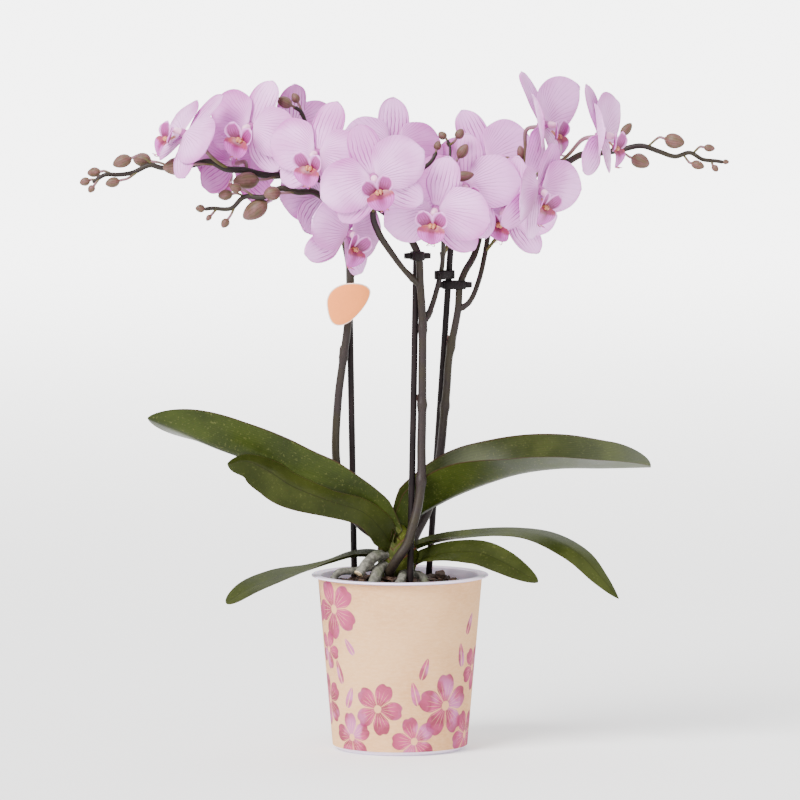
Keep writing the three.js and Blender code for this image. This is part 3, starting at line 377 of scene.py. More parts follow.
def tepalGrid(shape, outline, angle, sweep, size, seed, mirrored):
    us = 1 - (1 - np.linspace(0, 1, shape["rows"])) ** 1.5
    vs = spaced(shape["columns"])
    u, v = np.meshgrid(us, vs, indexing="ij")
    a = math.radians(angle)
    along = np.array([math.cos(a), math.sin(a), 0])
    side = np.array([-along[1], along[0], 0])
    width = outline(u, -v if mirrored else v)
    rise = -shape["rise"] if mirrored else shape["rise"]
    reach = (v + rise) * size * shape["halfWidth"] * width
    forward = mix(bloomShape["start"], size * shape["length"], u) * (1 - 0.03 * v * v)
    z = shape["depth"] + sweep * u * u + shape["cup"] * v * v * width
    wave = np.sin(5.2 * u + 2.4 * v + 7 * draw(seed)) + 0.6 * np.sin(9.7 * v - 3.1 * u + 5 * draw(seed + 1))
    z = z + bloomShape["ripple"] * wave * np.abs(v) ** 1.5 * u
    crease = np.exp(-((v / bloomShape["creaseWidth"]) ** 2)) * np.sin(math.pi * np.clip(u, 0, 1))
    z = z - bloomShape["crease"] * crease
    return forward[..., None] * along + reach[..., None] * side + z[..., None] * np.array([0, 0, 1.0]), us, vs


# Veins: how many across, how strong, whether they fan out, and the share of the length where they fade.
tepalVeins = {
    "petal": {"veins": 9, "strength": 0.6, "fan": True, "fadeFrom": 0.25},
    "sepal": {"veins": 8, "strength": 0.9, "fan": False, "fadeFrom": 0.6},
}


# Petal tissue: soft, matt, and light spreads in it. Pink veins on a pale lilac ground, faint towards the
# edge. Deeper pink in random patches is the tissue's own tone. The deeper pink towards each edge and the
# pinker base are painted shade.
def tepalSkin(kind):
    look = tepalVeins[kind]
    material, tree, where, along, across = blank(kind + "Tissue")
    patches = add(tree, "TexNoise", where, every(35.7), 2)
    wobble = add(tree, "TexNoise", where, every(5.26), 2)
    # Painted shade: the deep pink grows towards each tepal's edges. The noise patches mixed in with it are
    # the tissue's own tone.
    rim = add(tree, "MapRange", add(tree, "Math ABSOLUTE", add(tree, "Math SUBTRACT", across, 0.5)), 0.25,
              0.5, 0, 0.3)
    ground = add(tree, "Mix", add(tree, "Math ADD", add(tree, "MapRange", patches, 0.35, 0.7, 0, 0.7), rim),
                 colour(bloomColours["petal"]), colour(bloomColours["petalDeepAndShade"]))
    # Painted shade: pinker towards each tepal's base, round the hub.
    throatShade = add(tree, "MapRange", along, 0.22, 0.02, 0, 0.6)
    ground = add(tree, "Mix", throatShade, ground, colour(bloomColours["throatShade"]))
    if look["fan"]:
        swell = add(tree, "Math SQRT",
                    add(tree, "Math MULTIPLY", along, add(tree, "Math SUBTRACT", 1, along)))
        spread = add(tree, "Math DIVIDE", swell, add(tree, "Math MULTIPLY_ADD", along, 0.5, 0.06))
        across = add(tree, "Math MULTIPLY", add(tree, "Math SUBTRACT", across, 0.5), spread)
    lines = add(tree, "Math MULTIPLY_ADD", across, look["veins"], add(tree, "Math MULTIPLY", wobble, 0.7))
    line = add(tree, "MapRange", add(tree, "Math PINGPONG", lines, 0.5), 0.24, 0.04)
    branch = add(tree, "Math MULTIPLY_ADD", across, 2 * look["veins"],
                 add(tree, "Math MULTIPLY", wobble, 1.6))
    branchLine = add(tree, "MapRange", add(tree, "Math PINGPONG", branch, 0.5), 0.16, 0.03)
    outer = add(tree, "MapRange", along, 0.3, 0.6)
    line = add(tree, "Math MAXIMUM", line,
               add(tree, "Math MULTIPLY", branchLine, add(tree, "Math MULTIPLY", outer, 0.6)))
    outwards = add(tree, "MapRange", along, 0.95, look["fadeFrom"], 0.18)
    fade = add(tree, "Math MULTIPLY", add(tree, "MapRange", along, 0.04, 0.16), outwards)
    uneven = add(tree, "MapRange", add(tree, "TexNoise", where, every(8.33), 2), 0.3, 0.65, 0.35, 1)
    amount = add(tree, "Math MULTIPLY", add(tree, "Math MULTIPLY", line, fade), uneven)
    amount = add(tree, "Math MULTIPLY", amount, look["strength"])
    return finish(material, {
        "Base Color": add(tree, "Mix", amount, ground, colour(bloomColours["vein"])),
        "Roughness": 0.5,
        "Subsurface Weight": 0.22,
        "Subsurface Radius": (1.0, 0.55, 0.8),
        "Subsurface Scale": 0.0012,
        "Sheen Weight": 0.12,
        "Normal": add(tree, "Bump", Height=line, Distance=0.0001, Strength=0.3),
    })


# Column tissue: smooth and waxy, deep pink with pale freckles under a pale cap.
def columnSkin():
    material, tree, where, along, _ = blank("columnTissue")
    cap = add(tree, "MapRange", along, 0.56, 0.64)
    speckle = add(tree, "MapRange", add(tree, "TexNoise", where, every(1.11), 2), 0.5, 0.62)
    pink = add(tree, "Mix", add(tree, "Math MULTIPLY", speckle, 0.3), colour(bloomColours["column"]),
               colour(bloomColours["columnPale"]))
    return finish(material, {
        "Base Color": add(tree, "Mix", cap, pink, colour(bloomColours["cap"])),
        "Roughness": 0.4,
        "Subsurface Weight": 0.2,
        "Subsurface Radius": (1.0, 0.6, 0.7),
        "Subsurface Scale": 0.001,
    })


# The column ends in a pale round anther cap over the lip.
def columnInto(skin):
    line = curveThrough([(0, 0, -3), (0, 0.2, 0), (0, 0, 2.6), (0, -0.9, 5.2), (0, -1.9, 6.8)], 16)
    u = np.linspace(0, 1, 16)
    radii = np.interp(u, [0, 0.3, 0.6, 0.8, 0.93, 1], [2.3, 2.5, 1.8, 1.75, 1.4, 0.3])
    skin.tube(line, radii, 14, 2)


def flowerInto(skin, bloom, seed):
    kinds = [("sepal", angle) for angle in bloom.get("sepals", bloomShape["sepal"]["angles"])]
    kinds += [("petal", angle) for angle in bloom.get("petals", bloomShape["petal"]["angles"])]
    for n, (kind, angle) in enumerate(kinds):
        shape = bloomShape[kind]
        turned = angle + shape["turn"] * draw(seed * 31 + n)
        sweep = shape["sweep"]
        if kind == "petal" and "forward" in bloom:
            sweep = bloom["forward"][n - 3]
        sweep += bloomShape["bend"] * draw(seed * 17 + n)
        outline = petalOutline if kind == "petal" else sepalOutline
        mirrored = kind == "petal" and abs(angle) > 90
        grid, us, vs = tepalGrid(shape, outline, turned, sweep, bloom.get("size", 1), seed * 7 + n, mirrored)
        skin.blade(grid, bloomShape["thickness"], us, vs, 0 if kind == "petal" else 1)
    columnInto(skin)


# The lip: a shovel-shaped middle lobe with two fine curled whiskers, upright side lobes and a warty crest.
# Rows are y, z and half width.
lipShape = {
    "middle": [(-3.6, 3.4, 1.3), (-5.4, 4.5, 1.5), (-7.0, 5.5, 2.6), (-8.2, 6.3, 6.0), (-9.6, 6.9, 7.2),
               (-11.4, 7.2, 7.4), (-13.4, 6.8, 6.8), (-15.2, 6.0, 5.4), (-16.6, 5.2, 3.4), (-17.3, 4.7, 0.9)],
    "side": [(1.5, -8.2, 5.2), (3.1, -6.6, 6.4), (4.7, -4.2, 7.8), (5.8, -1.8, 9.2), (6.2, 0.2, 9.9)],
    "sideHalfWidth": (1.6, 3.9, 4.8, 4.0, 1.1),
    "sideAcross": (0.85, -0.5, 0.16),
    "thickness": 0.7, "sideThickness": 0.6, "fullHalf": 7.2, "cup": 1.7, "sideCup": 1.6, "frill": 0.25,
    "whisker": 1.6, "whiskerFrom": (0.5, -16.6, 5.0), "whiskerRadii": (0.3, 0.12),
    "wart": [(0.8, -6.6, 5.6), (0.9, -7.6, 7.2), (0.7, -8.9, 7.4)],
    "wartRadii": [0.3, 0.8, 1.05, 1.2, 1.2, 1.1, 0.95, 0.7, 0.2],
}
lipColours = {
    "blade": "#CB60C0",
    "bladeDeep": "#962B78",
    "band": "#902E5A",
    "bandHot": "#A04048",
    "middleLine": "#74123F",
    "sideLobe": "#A23F8C",
    "sideDeep": "#6E1649",
    "sideEdge": "#E497DE",
    "crest": "#C08058",
    "crestDots": "#7E1F38",
}


# The lip's blade: glossier than a petal, streaked magenta with a redder band across its upper part.
def lipBladeSkin():
    material, tree, where, along, across = blank("lipBlade")
    fromMiddle = add(tree, "Math ABSOLUTE", add(tree, "Math SUBTRACT", across, 0.5))
    speckle = add(tree, "TexNoise", where, every(1.43), 3)
    streaks = add(tree, "Math PINGPONG", add(tree, "Math MULTIPLY_ADD", across, 11, speckle), 0.5)
    lower = add(tree, "Mix", add(tree, "MapRange", streaks, 0.3, 0.05, 0, 0.5), colour(lipColours["blade"]),
                colour(lipColours["bladeDeep"]))
    deep = add(tree, "Math MULTIPLY", add(tree, "MapRange", fromMiddle, 0.3, 0.03),
               add(tree, "MapRange", along, 0.98, 0.6))
    lower = add(tree, "Mix", deep, lower, colour(lipColours["bladeDeep"]))
    bandEdge = add(tree, "Math MULTIPLY_ADD", speckle, 0.16, along)
    band = add(tree, "Math MULTIPLY", add(tree, "MapRange", bandEdge, 0.7, 0.58),
               add(tree, "MapRange", bandEdge, 0.26, 0.38))
    red = add(tree, "Mix", add(tree, "MapRange", speckle, 0.45, 0.6), colour(lipColours["band"]),
              colour(lipColours["bandHot"]))
    red = add(tree, "Mix", add(tree, "MapRange", fromMiddle, 0.22, 0.05), red,
              colour(lipColours["middleLine"]))
    painted = add(tree, "Mix", band, lower, red)
    claw = add(tree, "MapRange", along, 0.36, 0.26)
    painted = add(tree, "Mix", claw, painted, colour(lipColours["crest"]))
    return finish(material, {
        "Base Color": painted,
        "Roughness": 0.42,
        "Subsurface Weight": 0.15,
        "Subsurface Radius": (1.0, 0.4, 0.6),
        "Subsurface Scale": 0.001,
        "Normal": add(tree, "Bump", Height=speckle, Distance=0.00015, Strength=0.4),
    })


# The lip's side lobes: purple-pink, striped darker towards their foot, with a pale edge.
def lipSideSkin():
    material, tree, where, along, across = blank("lipSide")
    speckle = add(tree, "TexNoise", where, every(1.67), 3)
    fromMiddle = add(tree, "Math ABSOLUTE", add(tree, "Math SUBTRACT", across, 0.5))
    lower = add(tree, "MapRange", add(tree, "Math MULTIPLY_ADD", speckle, 0.4, along), 0.85, 0.4)
    inner = add(tree, "Mix", lower, colour(lipColours["sideLobe"]), colour(lipColours["sideDeep"]))
    stripes = add(tree, "Math PINGPONG", add(tree, "Math MULTIPLY_ADD", across, 7, speckle), 0.5)
    stripes = add(tree, "Math MULTIPLY", add(tree, "MapRange", stripes, 0.2, 0.05),
                  add(tree, "MapRange", along, 0.95, 0.5, 0, 0.8))
    inner = add(tree, "Mix", stripes, inner, colour(lipColours["sideDeep"]))
    base = add(tree, "MapRange", along, 0.16, 0.06)
    inner = add(tree, "Mix", base, inner, colour(lipColours["crest"]))
    edge = add(tree, "Math MAXIMUM", add(tree, "MapRange", fromMiddle, 0.3, 0.47),
               add(tree, "MapRange", along, 0.84, 0.97))
    return finish(material, {
        "Base Color": add(tree, "Mix", edge, inner, colour(lipColours["sideEdge"])),
        "Roughness": 0.42,
        "Subsurface Weight": 0.15,
        "Subsurface Radius": (1.0, 0.4, 0.6),
        "Subsurface Scale": 0.001,
    })


# The crest's warts: waxy and ochre, with dark red dots.
def crestSkin():
    material, tree, where, *_ = blank("lipCrest")
    dots = add(tree, "MapRange", add(tree, "TexNoise", where, every(0.769), 1), 0.56, 0.64)
    return finish(material, {
        "Base Color": add(tree, "Mix", dots, colour(lipColours["crest"]), colour(lipColours["crestDots"])),
        "Roughness": 0.4,
    })


def lipInto(skin, seed):
    s = lipShape
    rows = np.array(s["middle"])
    line = curveThrough([(0, y, z) for y, z, half in rows], 30)
    us, vs = np.linspace(0, 1, 30), spaced(17)
    half = np.interp(line[:, 1], rows[::-1, 0], rows[::-1, 2])
    half = np.convolve(np.pad(half, 1, mode="edge"), [0.25, 0.5, 0.25], mode="valid")
    grid = np.zeros((30, 17, 3))
    for i, (x, y, z) in enumerate(line):
        wide = half[i] / s["fullHalf"]
        frill = s["frill"] * np.sin(7 * vs + 4 * draw(seed)) * wide * us[i]
        lift = s["cup"] * vs * vs * wide + frill
        grid[i] = np.stack([x + vs * half[i], np.full(17, y) + 0.5 * vs * vs * wide, z + lift], axis=1)
    skin.blade(grid, s["thickness"], us, vs, 0)
    us, vs = np.linspace(0, 1, 18), spaced(11)
    halves = np.interp(us, np.linspace(0, 1, 5), s["sideHalfWidth"])
    turn = np.linspace(0, 1, 14)[:, None]
    curl = 1.5 * math.pi * turn
    for side in (-1, 1):
        mirror = np.array([side, 1, 1])
        line = curveThrough(np.array(s["side"]) * mirror, 18)
        across = unit(np.array(s["sideAcross"]) * mirror)
        inward = np.array([-side * 0.25, 0.2, 0.95])
        hollow = s["sideCup"] * vs[None, :] ** 2 * np.sin(math.pi * np.clip(us, 0.05, 1))[:, None]
        grid = line[:, None, :] + (halves[:, None] * vs[None, :])[..., None] * across
        grid = grid + hollow[..., None] * inward
        skin.blade(grid if side > 0 else grid[:, ::-1], s["sideThickness"], us, vs, 1)
        curled = np.hstack([side * np.sin(curl * 0.7), -np.sin(curl * 0.5) * 0.8, (1 - np.cos(curl)) * 0.8])
        whisker = np.array(s["whiskerFrom"]) * mirror + s["whisker"] * curled
        skin.tube(whisker, np.linspace(*s["whiskerRadii"], 14), 6, 0)
        skin.tube(curveThrough(np.array(s["wart"]) * mirror, 9), s["wartRadii"], 10, 2)


# Blooms: the middle of the flower, its face as bearing, climb and roll in degrees, and where its stalk
# starts. size makes its tepals longer and wider than usual, sepals and petals give the angles of those that
# grew askew, and forward is how far its right and left petal's tips come forward.
blooms = {
    "bloom_far_left": {"at": (-112, -12, 323), "face": (-62, 32, -18), "stem": "centreFar", "share": 0.56},
    "bloom_left": {"at": (-77.8, -7, 326.4), "face": (-28, 5, -20), "size": 0.93, "stem": "centreFar",
        "share": 0.4},
    "bloom_left_front": {"at": (-42.7, -34, 313.8), "face": (-27, 0, -10), "sepals": (81, 224, 322),
        "petals": (1, 178), "stem": "leftLow", "share": 0.3},
    "bloom_left_back": {"at": (-59, 26, 322), "face": (-150, 12, -4), "stem": "leftHigh", "share": 0.66},
    "bloom_centre": {"at": (-13.4, -52, 302.1), "face": (2, -1, 18), "sepals": (92, 214, 317),
        "petals": (11, 183), "stem": "centreLeft", "share": 0.5},
    "bloom_top": {"at": (-3.8, -8, 314.6), "face": (22, 6, -6), "stem": "centreFar", "share": 0.1},
    "bloom_under_left": {"at": (-27, -26, 272), "face": (50, -5, -12), "stem": "leftMain", "share": 0.985},
    "bloom_centre_right": {"at": (18.5, -37, 284.7), "face": (-12, -4, -5), "sepals": (80, 210, 315),
        "petals": (-9, 204), "stem": "centreRight", "share": 0.52},
    "bloom_right_back": {"at": (44.4, 15.7, 308.6), "face": (24, 5, 18), "stem": "rightMain",
        "share": 0.86},
    "bloom_right": {"at": (75, -4, 327.3), "face": (66, 13, 4), "size": 1.06, "sepals": (90, 222, 318),
        "petals": (28, 172), "forward": (12, 12), "stem": "rightFar", "share": 0.12},
    "bloom_far_right": {"at": (104.5, -25, 322.6), "face": (68, 9, 2), "size": 0.98,
        "sepals": (90, 217, 323), "petals": (34, 172), "forward": (2, 12), "stem": "rightFar",
        "share": 0.24},
    "bloom_right_low": {"at": (71.5, -40, 295), "face": (52, -10, -8), "sepals": (58, 228, 296),
        "petals": (8, 196), "forward": (4, 10), "stem": "rightFar", "share": 0.2},
    "bloom_under_right": {"at": (56.3, -4.6, 284.2), "face": (-35, -15, -15), "sepals": (90, 216, 306),
        "petals": (6, 182), "forward": (-2.6, 4), "stem": "rightSide", "share": 0.5},
    "bloom_far_left_back": {"at": (-88, 28, 306), "face": (-140, -8, 10), "stem": "centreFar",
        "share": 0.5},
    "bloom_low_back": {"at": (-41.5, 24, 288.5), "face": (-140, -20, -8), "stem": "leftHigh", "share": 0.3},
    "bloom_right_middle": {"at": (34.2, -13, 295.4), "face": (-4, 2, 2), "sepals": (90, 216, 292),
        "petals": (6, 172), "stem": "centreRight", "share": 0.36},
}


def bloomMatrix(at, face):
    bearing, climb, roll = face
    out = facing(bearing, climb)
    up = (Vector((0, 0, 1)) - out * out.z).normalized()
    up.rotate(Matrix.Rotation(math.radians(roll), 3, out))
    across = up.cross(out)
    matrix = Matrix((across, up, out)).transposed().to_4x4()
    matrix.translation = at
    return matrix


def makeBlooms():
    skins = [tepalSkin("petal"), tepalSkin("sepal"), columnSkin()]
    lipSkins = [lipBladeSkin(), lipSideSkin(), crestSkin()]
    for n, (name, bloom) in enumerate(blooms.items(), 1):
        matrix = bloomMatrix(bloom["at"], bloom["face"])
        flower = Skin()
        flowerInto(flower, bloom, n)
        flower.move(matrix).piece("petals." + name[6:], skins, [name], "petal")
        lip = Skin()
        lipInto(lip, n)
        lip.move(matrix).piece("lip." + name[6:], lipSkins, [name + "_lip"], "lip")


makeBlooms()
print("blooms")


# Stems of the three spikes, root end first, with the radius at each end and its nodes as shares of the
# length.
stems = {
    "leftMain": {"spike": "left", "radius": (2.3, 2), "nodes": [0.22, 0.64], "path": [
        (-5, 6, 107), (-13, 9.4, 111), (-22, 9.8, 118), (-29, 10.2, 131), (-33.5, 9.8, 151),
        (-32.5, 8, 183), (-30, 7, 203), (-27.5, 5.5, 222), (-26, 3.5, 249), (-29, 1, 268),
    ]},
    "leftSide": {"spike": "left", "radius": (1.2, 0.8), "nodes": [], "path": [
        (-26, 3.8, 247), (-21.5, 1.6, 253.5), (-17.5, 0, 262), (-16, 0, 269), (-15.2, 0.6, 275),
    ]},
    "leftLow": {"spike": "left", "radius": (1.6, 0.7), "nodes": [], "path": [
        (-29, 1, 266), (-35, -5, 284), (-45, -11, 293), (-53, -13, 293), (-62, -14, 295), (-71, -15, 290.5),
        (-81, -14, 290.5), (-88, -13, 284.5), (-98, -12, 284.5), (-102, -12, 284),
    ]},
    "leftHigh": {"spike": "left", "radius": (1.4, 0.7), "nodes": [], "path": [
        (-29, 1, 266), (-32, 9, 282), (-37, 15, 298), (-44, 14, 314), (-49, 7, 327), (-51.5, 2, 334),
        (-55, -1, 337),
    ]},
    "centreMain": {"spike": "centre", "radius": (2.6, 1.9), "nodes": [0.3, 0.5, 0.7], "path": [
        (-6, -4.5, 91), (-5, -11, 95), (-1, -15.3, 102), (3.6, -16, 109), (6.6, -15.5, 118.5),
        (9, -14.2, 127.5), (10.6, -13, 137), (11.2, -11.6, 148.5), (11.2, -10.6, 160), (11.5, -9.8, 173),
        (11.7, -9, 199), (11.7, -8.5, 226), (10.5, -9, 246), (9.7, -9.5, 259), (6.3, -9, 267),
        (-2, -7, 277),
    ]},
    "centreFar": {"spike": "centre", "radius": (1.9, 0.75), "nodes": [], "path": [
        (-1, -7, 276), (-8, -4, 282), (-20, -1, 289), (-36, 1, 297), (-52, 2, 301.5), (-69.4, 2, 301),
        (-82, 1, 303.8), (-90.8, 0, 304.5), (-99.6, 0, 308.4), (-109, 0, 306.5), (-123.7, 0, 305),
        (-130.5, 0, 306.5), (-139.6, 0, 302.6), (-147, 0, 301.5), (-154, -1, 301.5), (-160.5, -2, 297.5),
    ]},
    "centreLeft": {"spike": "centre", "radius": (1.6, 0.7), "nodes": [0.06], "path": [
        (10.4, -9, 244), (3, -13, 251.5), (-5.8, -17, 263.5), (-11, -21, 272), (-14, -24, 281),
        (-12, -24.5, 291), (-3, -25, 298), (9, -24, 304), (16, -21, 309), (19, -19, 314),
    ]},
    "centreRight": {"spike": "centre", "radius": (1.6, 0.7), "nodes": [0.06], "path": [
        (11.7, -8.5, 223), (14.4, -6, 228), (17, -2.5, 234), (20.4, 0.5, 246), (22, -1, 254),
        (22.5, -8, 265), (22, -17, 276), (20, -21.4, 288), (20.8, -20.6, 299), (25.4, -18, 309),
        (26, -15, 316), (24.5, -14, 320.5),
    ]},
    "rightMain": {"spike": "right", "radius": (2.6, 1.5), "nodes": [0.36, 0.5], "path": [
        (3, 6, 101), (9.4, 9.8, 114), (14.7, 11.5, 124.5), (19, 12.3, 141), (21.5, 11.7, 157),
        (23, 10, 173), (24.5, 8.2, 189), (25.7, 6.2, 205), (30.4, 4, 231), (31.3, 4.5, 243),
        (33.8, 6.5, 250), (39, 12, 259), (43, 20.5, 275), (45, 25, 291), (45, 24, 306), (48, 22, 318),
    ]},
    "rightSide": {"spike": "right", "radius": (1.4, 1.3), "nodes": [0.05], "path": [
        (30.2, 4, 230), (36.5, 4, 235), (41.2, 7, 245.5), (44.5, 11.5, 259), (47, 15, 272), (52, 13, 284),
        (58, 7.5, 291),
    ]},
    "rightFar": {"spike": "right", "radius": (1.6, 0.7), "nodes": [], "path": [
        (57, 7, 290), (60.5, 6.5, 298), (67, 3, 303.7), (76, -3, 304.8), (84, -7, 306.6), (94, -5, 312),
        (102, 3, 312.4), (114, 5, 314), (126, 3, 316.5), (135, 2, 313.7), (143.6, 1, 311), (151.4, 0, 313),
        (158, 0, 309.5), (165.6, 0, 308.6), (169, 0, 308),
    ]},
    "rightShort": {"spike": "right", "radius": (1.1, 0.6), "nodes": [], "path": [
        (57.5, 7, 290), (57.5, 6.4, 298), (59.5, 5.6, 303.5), (65.5, 5.4, 306.5), (71, 5.6, 309.5),
    ]},
}

# Flower buds: the stem and the share of its length where the stalk leaves, the bud's middle, its length and
# width, and how far the stalk rises on its way.
buds = [
    ("centreFar", 0.6, (-117, -7, 306), (13.5, 10), 1),
    ("centreFar", 0.4, (-80.5, -5, 298.5), (14, 9.4), -1),
    ("centreFar", 0.8, (-145, -3, 308.5), (10.3, 7.3), 5),
    ("centreFar", 0.74, (-135, 6, 309), (10, 8), 1),
    ("centreFar", 0.84, (-150, -3, 297.6), (7.7, 5.7), -2),
    ("centreFar", 0.93, (-160, 2.5, 302.6), (7.3, 5.5), 1.5),
    ("centreFar", 0.985, (-164.5, -2.5, 298), (5.6, 4.8), 0.5),
    ("centreFar", 0.97, (-161, -4, 294.2), (4.4, 4), 0),
    ("leftLow", 0.44, (-66.5, -19, 292.5), (8.9, 8), 0),
    ("leftLow", 0.54, (-75.5, -12, 283.6), (15, 10), -1),
    ("leftLow", 0.75, (-91, -10.5, 291.4), (8, 6), 1.5),
    ("leftLow", 0.7, (-85.5, -18.5, 295.5), (6.2, 5.5), 1),
    ("leftLow", 0.99, (-104, -12.5, 284.4), (5, 4.5), 0),
    ("leftLow", 0.93, (-99.5, -14, 279.6), (3.8, 3), 0),
    ("leftLow", 0.82, (-91, -14, 276.8), (5.4, 4.7), -1),
    ("leftHigh", 0.99, (-60.3, -2, 339.4), (8.6, 6.4), 0),
    ("leftHigh", 0.9, (-54.6, 3.6, 341.5), (5.6, 4.7), 1),
    ("leftSide", 0.98, (-14.8, 1.5, 279), (6, 4.6), 0),
    ("centreRight", 0.97, (31, -17, 323.5), (5.8, 5.2), -1),
    ("centreRight", 0.88, (32.6, -20, 314.6), (8.5, 6), -3),
    ("centreRight", 0.81, (33.2, -22, 301.8), (10.7, 5.8), -1),
    ("centreRight", 0.99, (22, -13, 322.5), (5, 4.6), 0.5),
    ("centreLeft", 0.985, (19.5, -18.5, 317.5), (5, 4.2), 0),
    ("rightFar", 0.57, (125.5, -3, 308.6), (11.2, 8.2), -1),
    ("rightFar", 0.68, (143.3, -2, 319.2), (10.8, 8.5), 4),
    ("rightFar", 0.83, (155.4, -2.5, 306.6), (7.3, 5), -2),
    ("rightFar", 0.87, (161.6, 1.5, 315.4), (6, 4.2), 2.5),
    ("rightFar", 0.95, (164.5, -2, 304.9), (4.4, 3.6), -1),
    ("rightFar", 0.99, (170.2, 0, 308.2), (3.4, 2.8), 0),
    ("rightFar", 0.53, (118.4, 6.6, 325), (8.4, 5.2), 1),
    ("rightShort", 0.5, (56.6, 4.4, 308.5), (5.6, 4.8), 0.5),
    ("rightShort", 0.75, (63.4, 4.4, 313), (7.4, 4.8), 0),
    ("rightShort", 0.98, (73.2, 5.4, 311.2), (3.6, 3), 0),
    ("rightMain", 0.985, (48.6, 22, 322.4), (7, 5.2), 0),
    ("rightMain", 0.93, (41.5, 27, 314.5), (6.6, 4.8), 0),
]

spikeShape = {
    "stalkRadius": 0.75, "stalkBend": 0.4, "bloomStalk": (0.85, 1.2), "nodeSwelling": 0.25,
    "nodeLength": 0.012,
    "bract": 6.5, "budBract": 2.6, "bloomBract": 3.4, "bractThickness": 0.35, "bractWrap": 150,
    "bractGap": 0.25,
    "sprays": ("leftLow", "leftHigh", "centreLeft", "centreFar", "rightFar"), "sprayFullness": 0.4,
}
spikeColours = {
    "stem": "#292020",
    "stemGreen": "#2B2518",
    "stemDark": "#1A1314",
    "stalk": "#4F4B26",
    "stalkTop": "#86606B",
    "bud": "#66473F",
    "budDark": "#402C24",
    "budGreen": "#5A4C33",
    "budPink": "#84555A",
    "bract": "#6F4D49",
    "bractDark": "#4A3430",
    "bractTip": "#9C7A66",
}
stemLines = {name: curveThrough(stem["path"], 30 * len(stem["path"])) for name, stem in stems.items()}


def stemPlace(name, share):
    line = stemLines[name]
    at = share * (len(line) - 1)
    low = min(int(at), len(line) - 2)
    return line[low] + (line[low + 1] - line[low]) * (at - low)


def stemWay(name, share):
    return unit(stemPlace(name, min(share + 0.01, 1)) - stemPlace(name, max(share - 0.01, 0)))


# A small pointed scale that clasps a stem under a branch.
def bractInto(skin, name, share, radius, length, seed):
    at = stemPlace(name, share)
    way = stemWay(name, share)
    side = unit(np.cross(way, (0.2 + draw(seed), -1, 0.1 * draw(seed + 3))))
    front = np.cross(way, side)
    us, vs = np.linspace(0, 1, 12), spaced(9)
    grid = np.zeros((12, 9, 3))
    for i, u in enumerate(us):
        reach = math.radians(spikeShape["bractWrap"]) * (1 - u) ** 0.6 / 2 + 0.02
        away = radius + spikeShape["bractGap"] + 0.8 * u * u
        for j, v in enumerate(vs):
            a = v * reach
            grid[i, j] = at + way * length * (u - 0.15) + away * (math.cos(a) * front + math.sin(a) * side)
    skin.blade(grid, spikeShape["bractThickness"], us, vs, 3)


def stemInto(skin, name):
    stem = stems[name]
    line = curveThrough(stem["path"], 12 * len(stem["path"]))
    t = np.linspace(0, 1, len(line))
    radii = mix(stem["radius"][0], stem["radius"][1], t)
    if name in spikeShape["sprays"]:
        radii = radii * (1 + spikeShape["sprayFullness"] * smooth(t, 0.1, 0.4))
    for node in stem["nodes"]:
        swelling = np.exp(-(((t - node) / spikeShape["nodeLength"]) ** 2))
        radii = radii * (1 + spikeShape["nodeSwelling"] * swelling)
    radii[-1] *= 0.5
    skin.tube(line, radii, 14, 0)
    for n, node in enumerate(stem["nodes"]):
        bractInto(skin, name, node, mix(*stem["radius"], node), spikeShape["bract"], len(name) + 7 * n)


def budInto(skin, stem, share, at, size, rise, seed):
    length, width = size
    start = stemPlace(stem, share)
    bend = mix(start, np.array(at, dtype=float), spikeShape["stalkBend"]) + np.array([0, 0, rise])
    pointing = unit(np.array(at) - bend)
    seat = np.array(at) - pointing * length / 2
    line = curveThrough([start, mix(bend, seat, 0.2), mix(bend, seat, 0.8), seat + pointing * 0.6], 14)
    skin.tube(line, np.linspace(0.8, 1.0, 14) * spikeShape["stalkRadius"], 8, 1)
    t = np.concatenate([[0.0], (1 - np.cos(np.linspace(0.25, math.pi - 0.02, 18))) / 2])
    bulge = np.sin(math.pi * t ** 0.9) ** 0.52 * (1 - 0.12 * t)
    bulge[0] = 0.28
    middle = seat + t[:, None] * pointing * length
    turn = 3 * draw(seed)
    skin.tube(middle, np.maximum(bulge * width / 2, 0.12), 18, 2,
              rib=lambda a, u: 0.045 * np.cos(5 * a + turn) * math.sin(math.pi * u))
    bractInto(skin, stem, min(share, 0.97), 0.8, spikeShape["budBract"], seed)


# A flower stalk, from its stem to the back of the column.
def stalkInto(skin, bloom, seed):
    matrix = np.array(bloomMatrix(bloom["at"], bloom["face"]))

    def back(z):
        return matrix[:3, 3] + matrix[:3, 2] * z

    start = stemPlace(bloom["stem"], bloom["share"])
    near = back(-10)
    sagging = mix(start, near, 0.5) + np.array([0, 0, -1.5])
    line = curveThrough([start, sagging, near, back(-2.4)], 22)
    skin.tube(line, np.linspace(*spikeShape["bloomStalk"], 22), 10, 1)
    bractInto(skin, bloom["stem"], min(bloom["share"], 0.97), 1.0, spikeShape["bloomBract"], seed)


# Stem skin: smooth, dark green-brown with finer dark freckles and a dull gloss.
def stemSkin():
    material, tree, where, *_ = blank("stemSkin")
    patches = add(tree, "TexNoise", where, every(16.7), 3)
    speckle = add(tree, "TexNoise", where, every(0.909), 2)
    ground = add(tree, "Mix", add(tree, "MapRange", patches, 0.38, 0.66), colour(spikeColours["stem"]),
                 colour(spikeColours["stemGreen"]))
    ground = add(tree, "Mix", add(tree, "MapRange", speckle, 0.5, 0.68, 0, 0.5), ground,
                 colour(spikeColours["stemDark"]))
    return finish(material, {"Base Color": ground, "Roughness": 0.5, "Specular IOR Level": 0.25,
                             "Normal": add(tree, "Bump", Height=speckle, Distance=0.0001, Strength=0.35)})


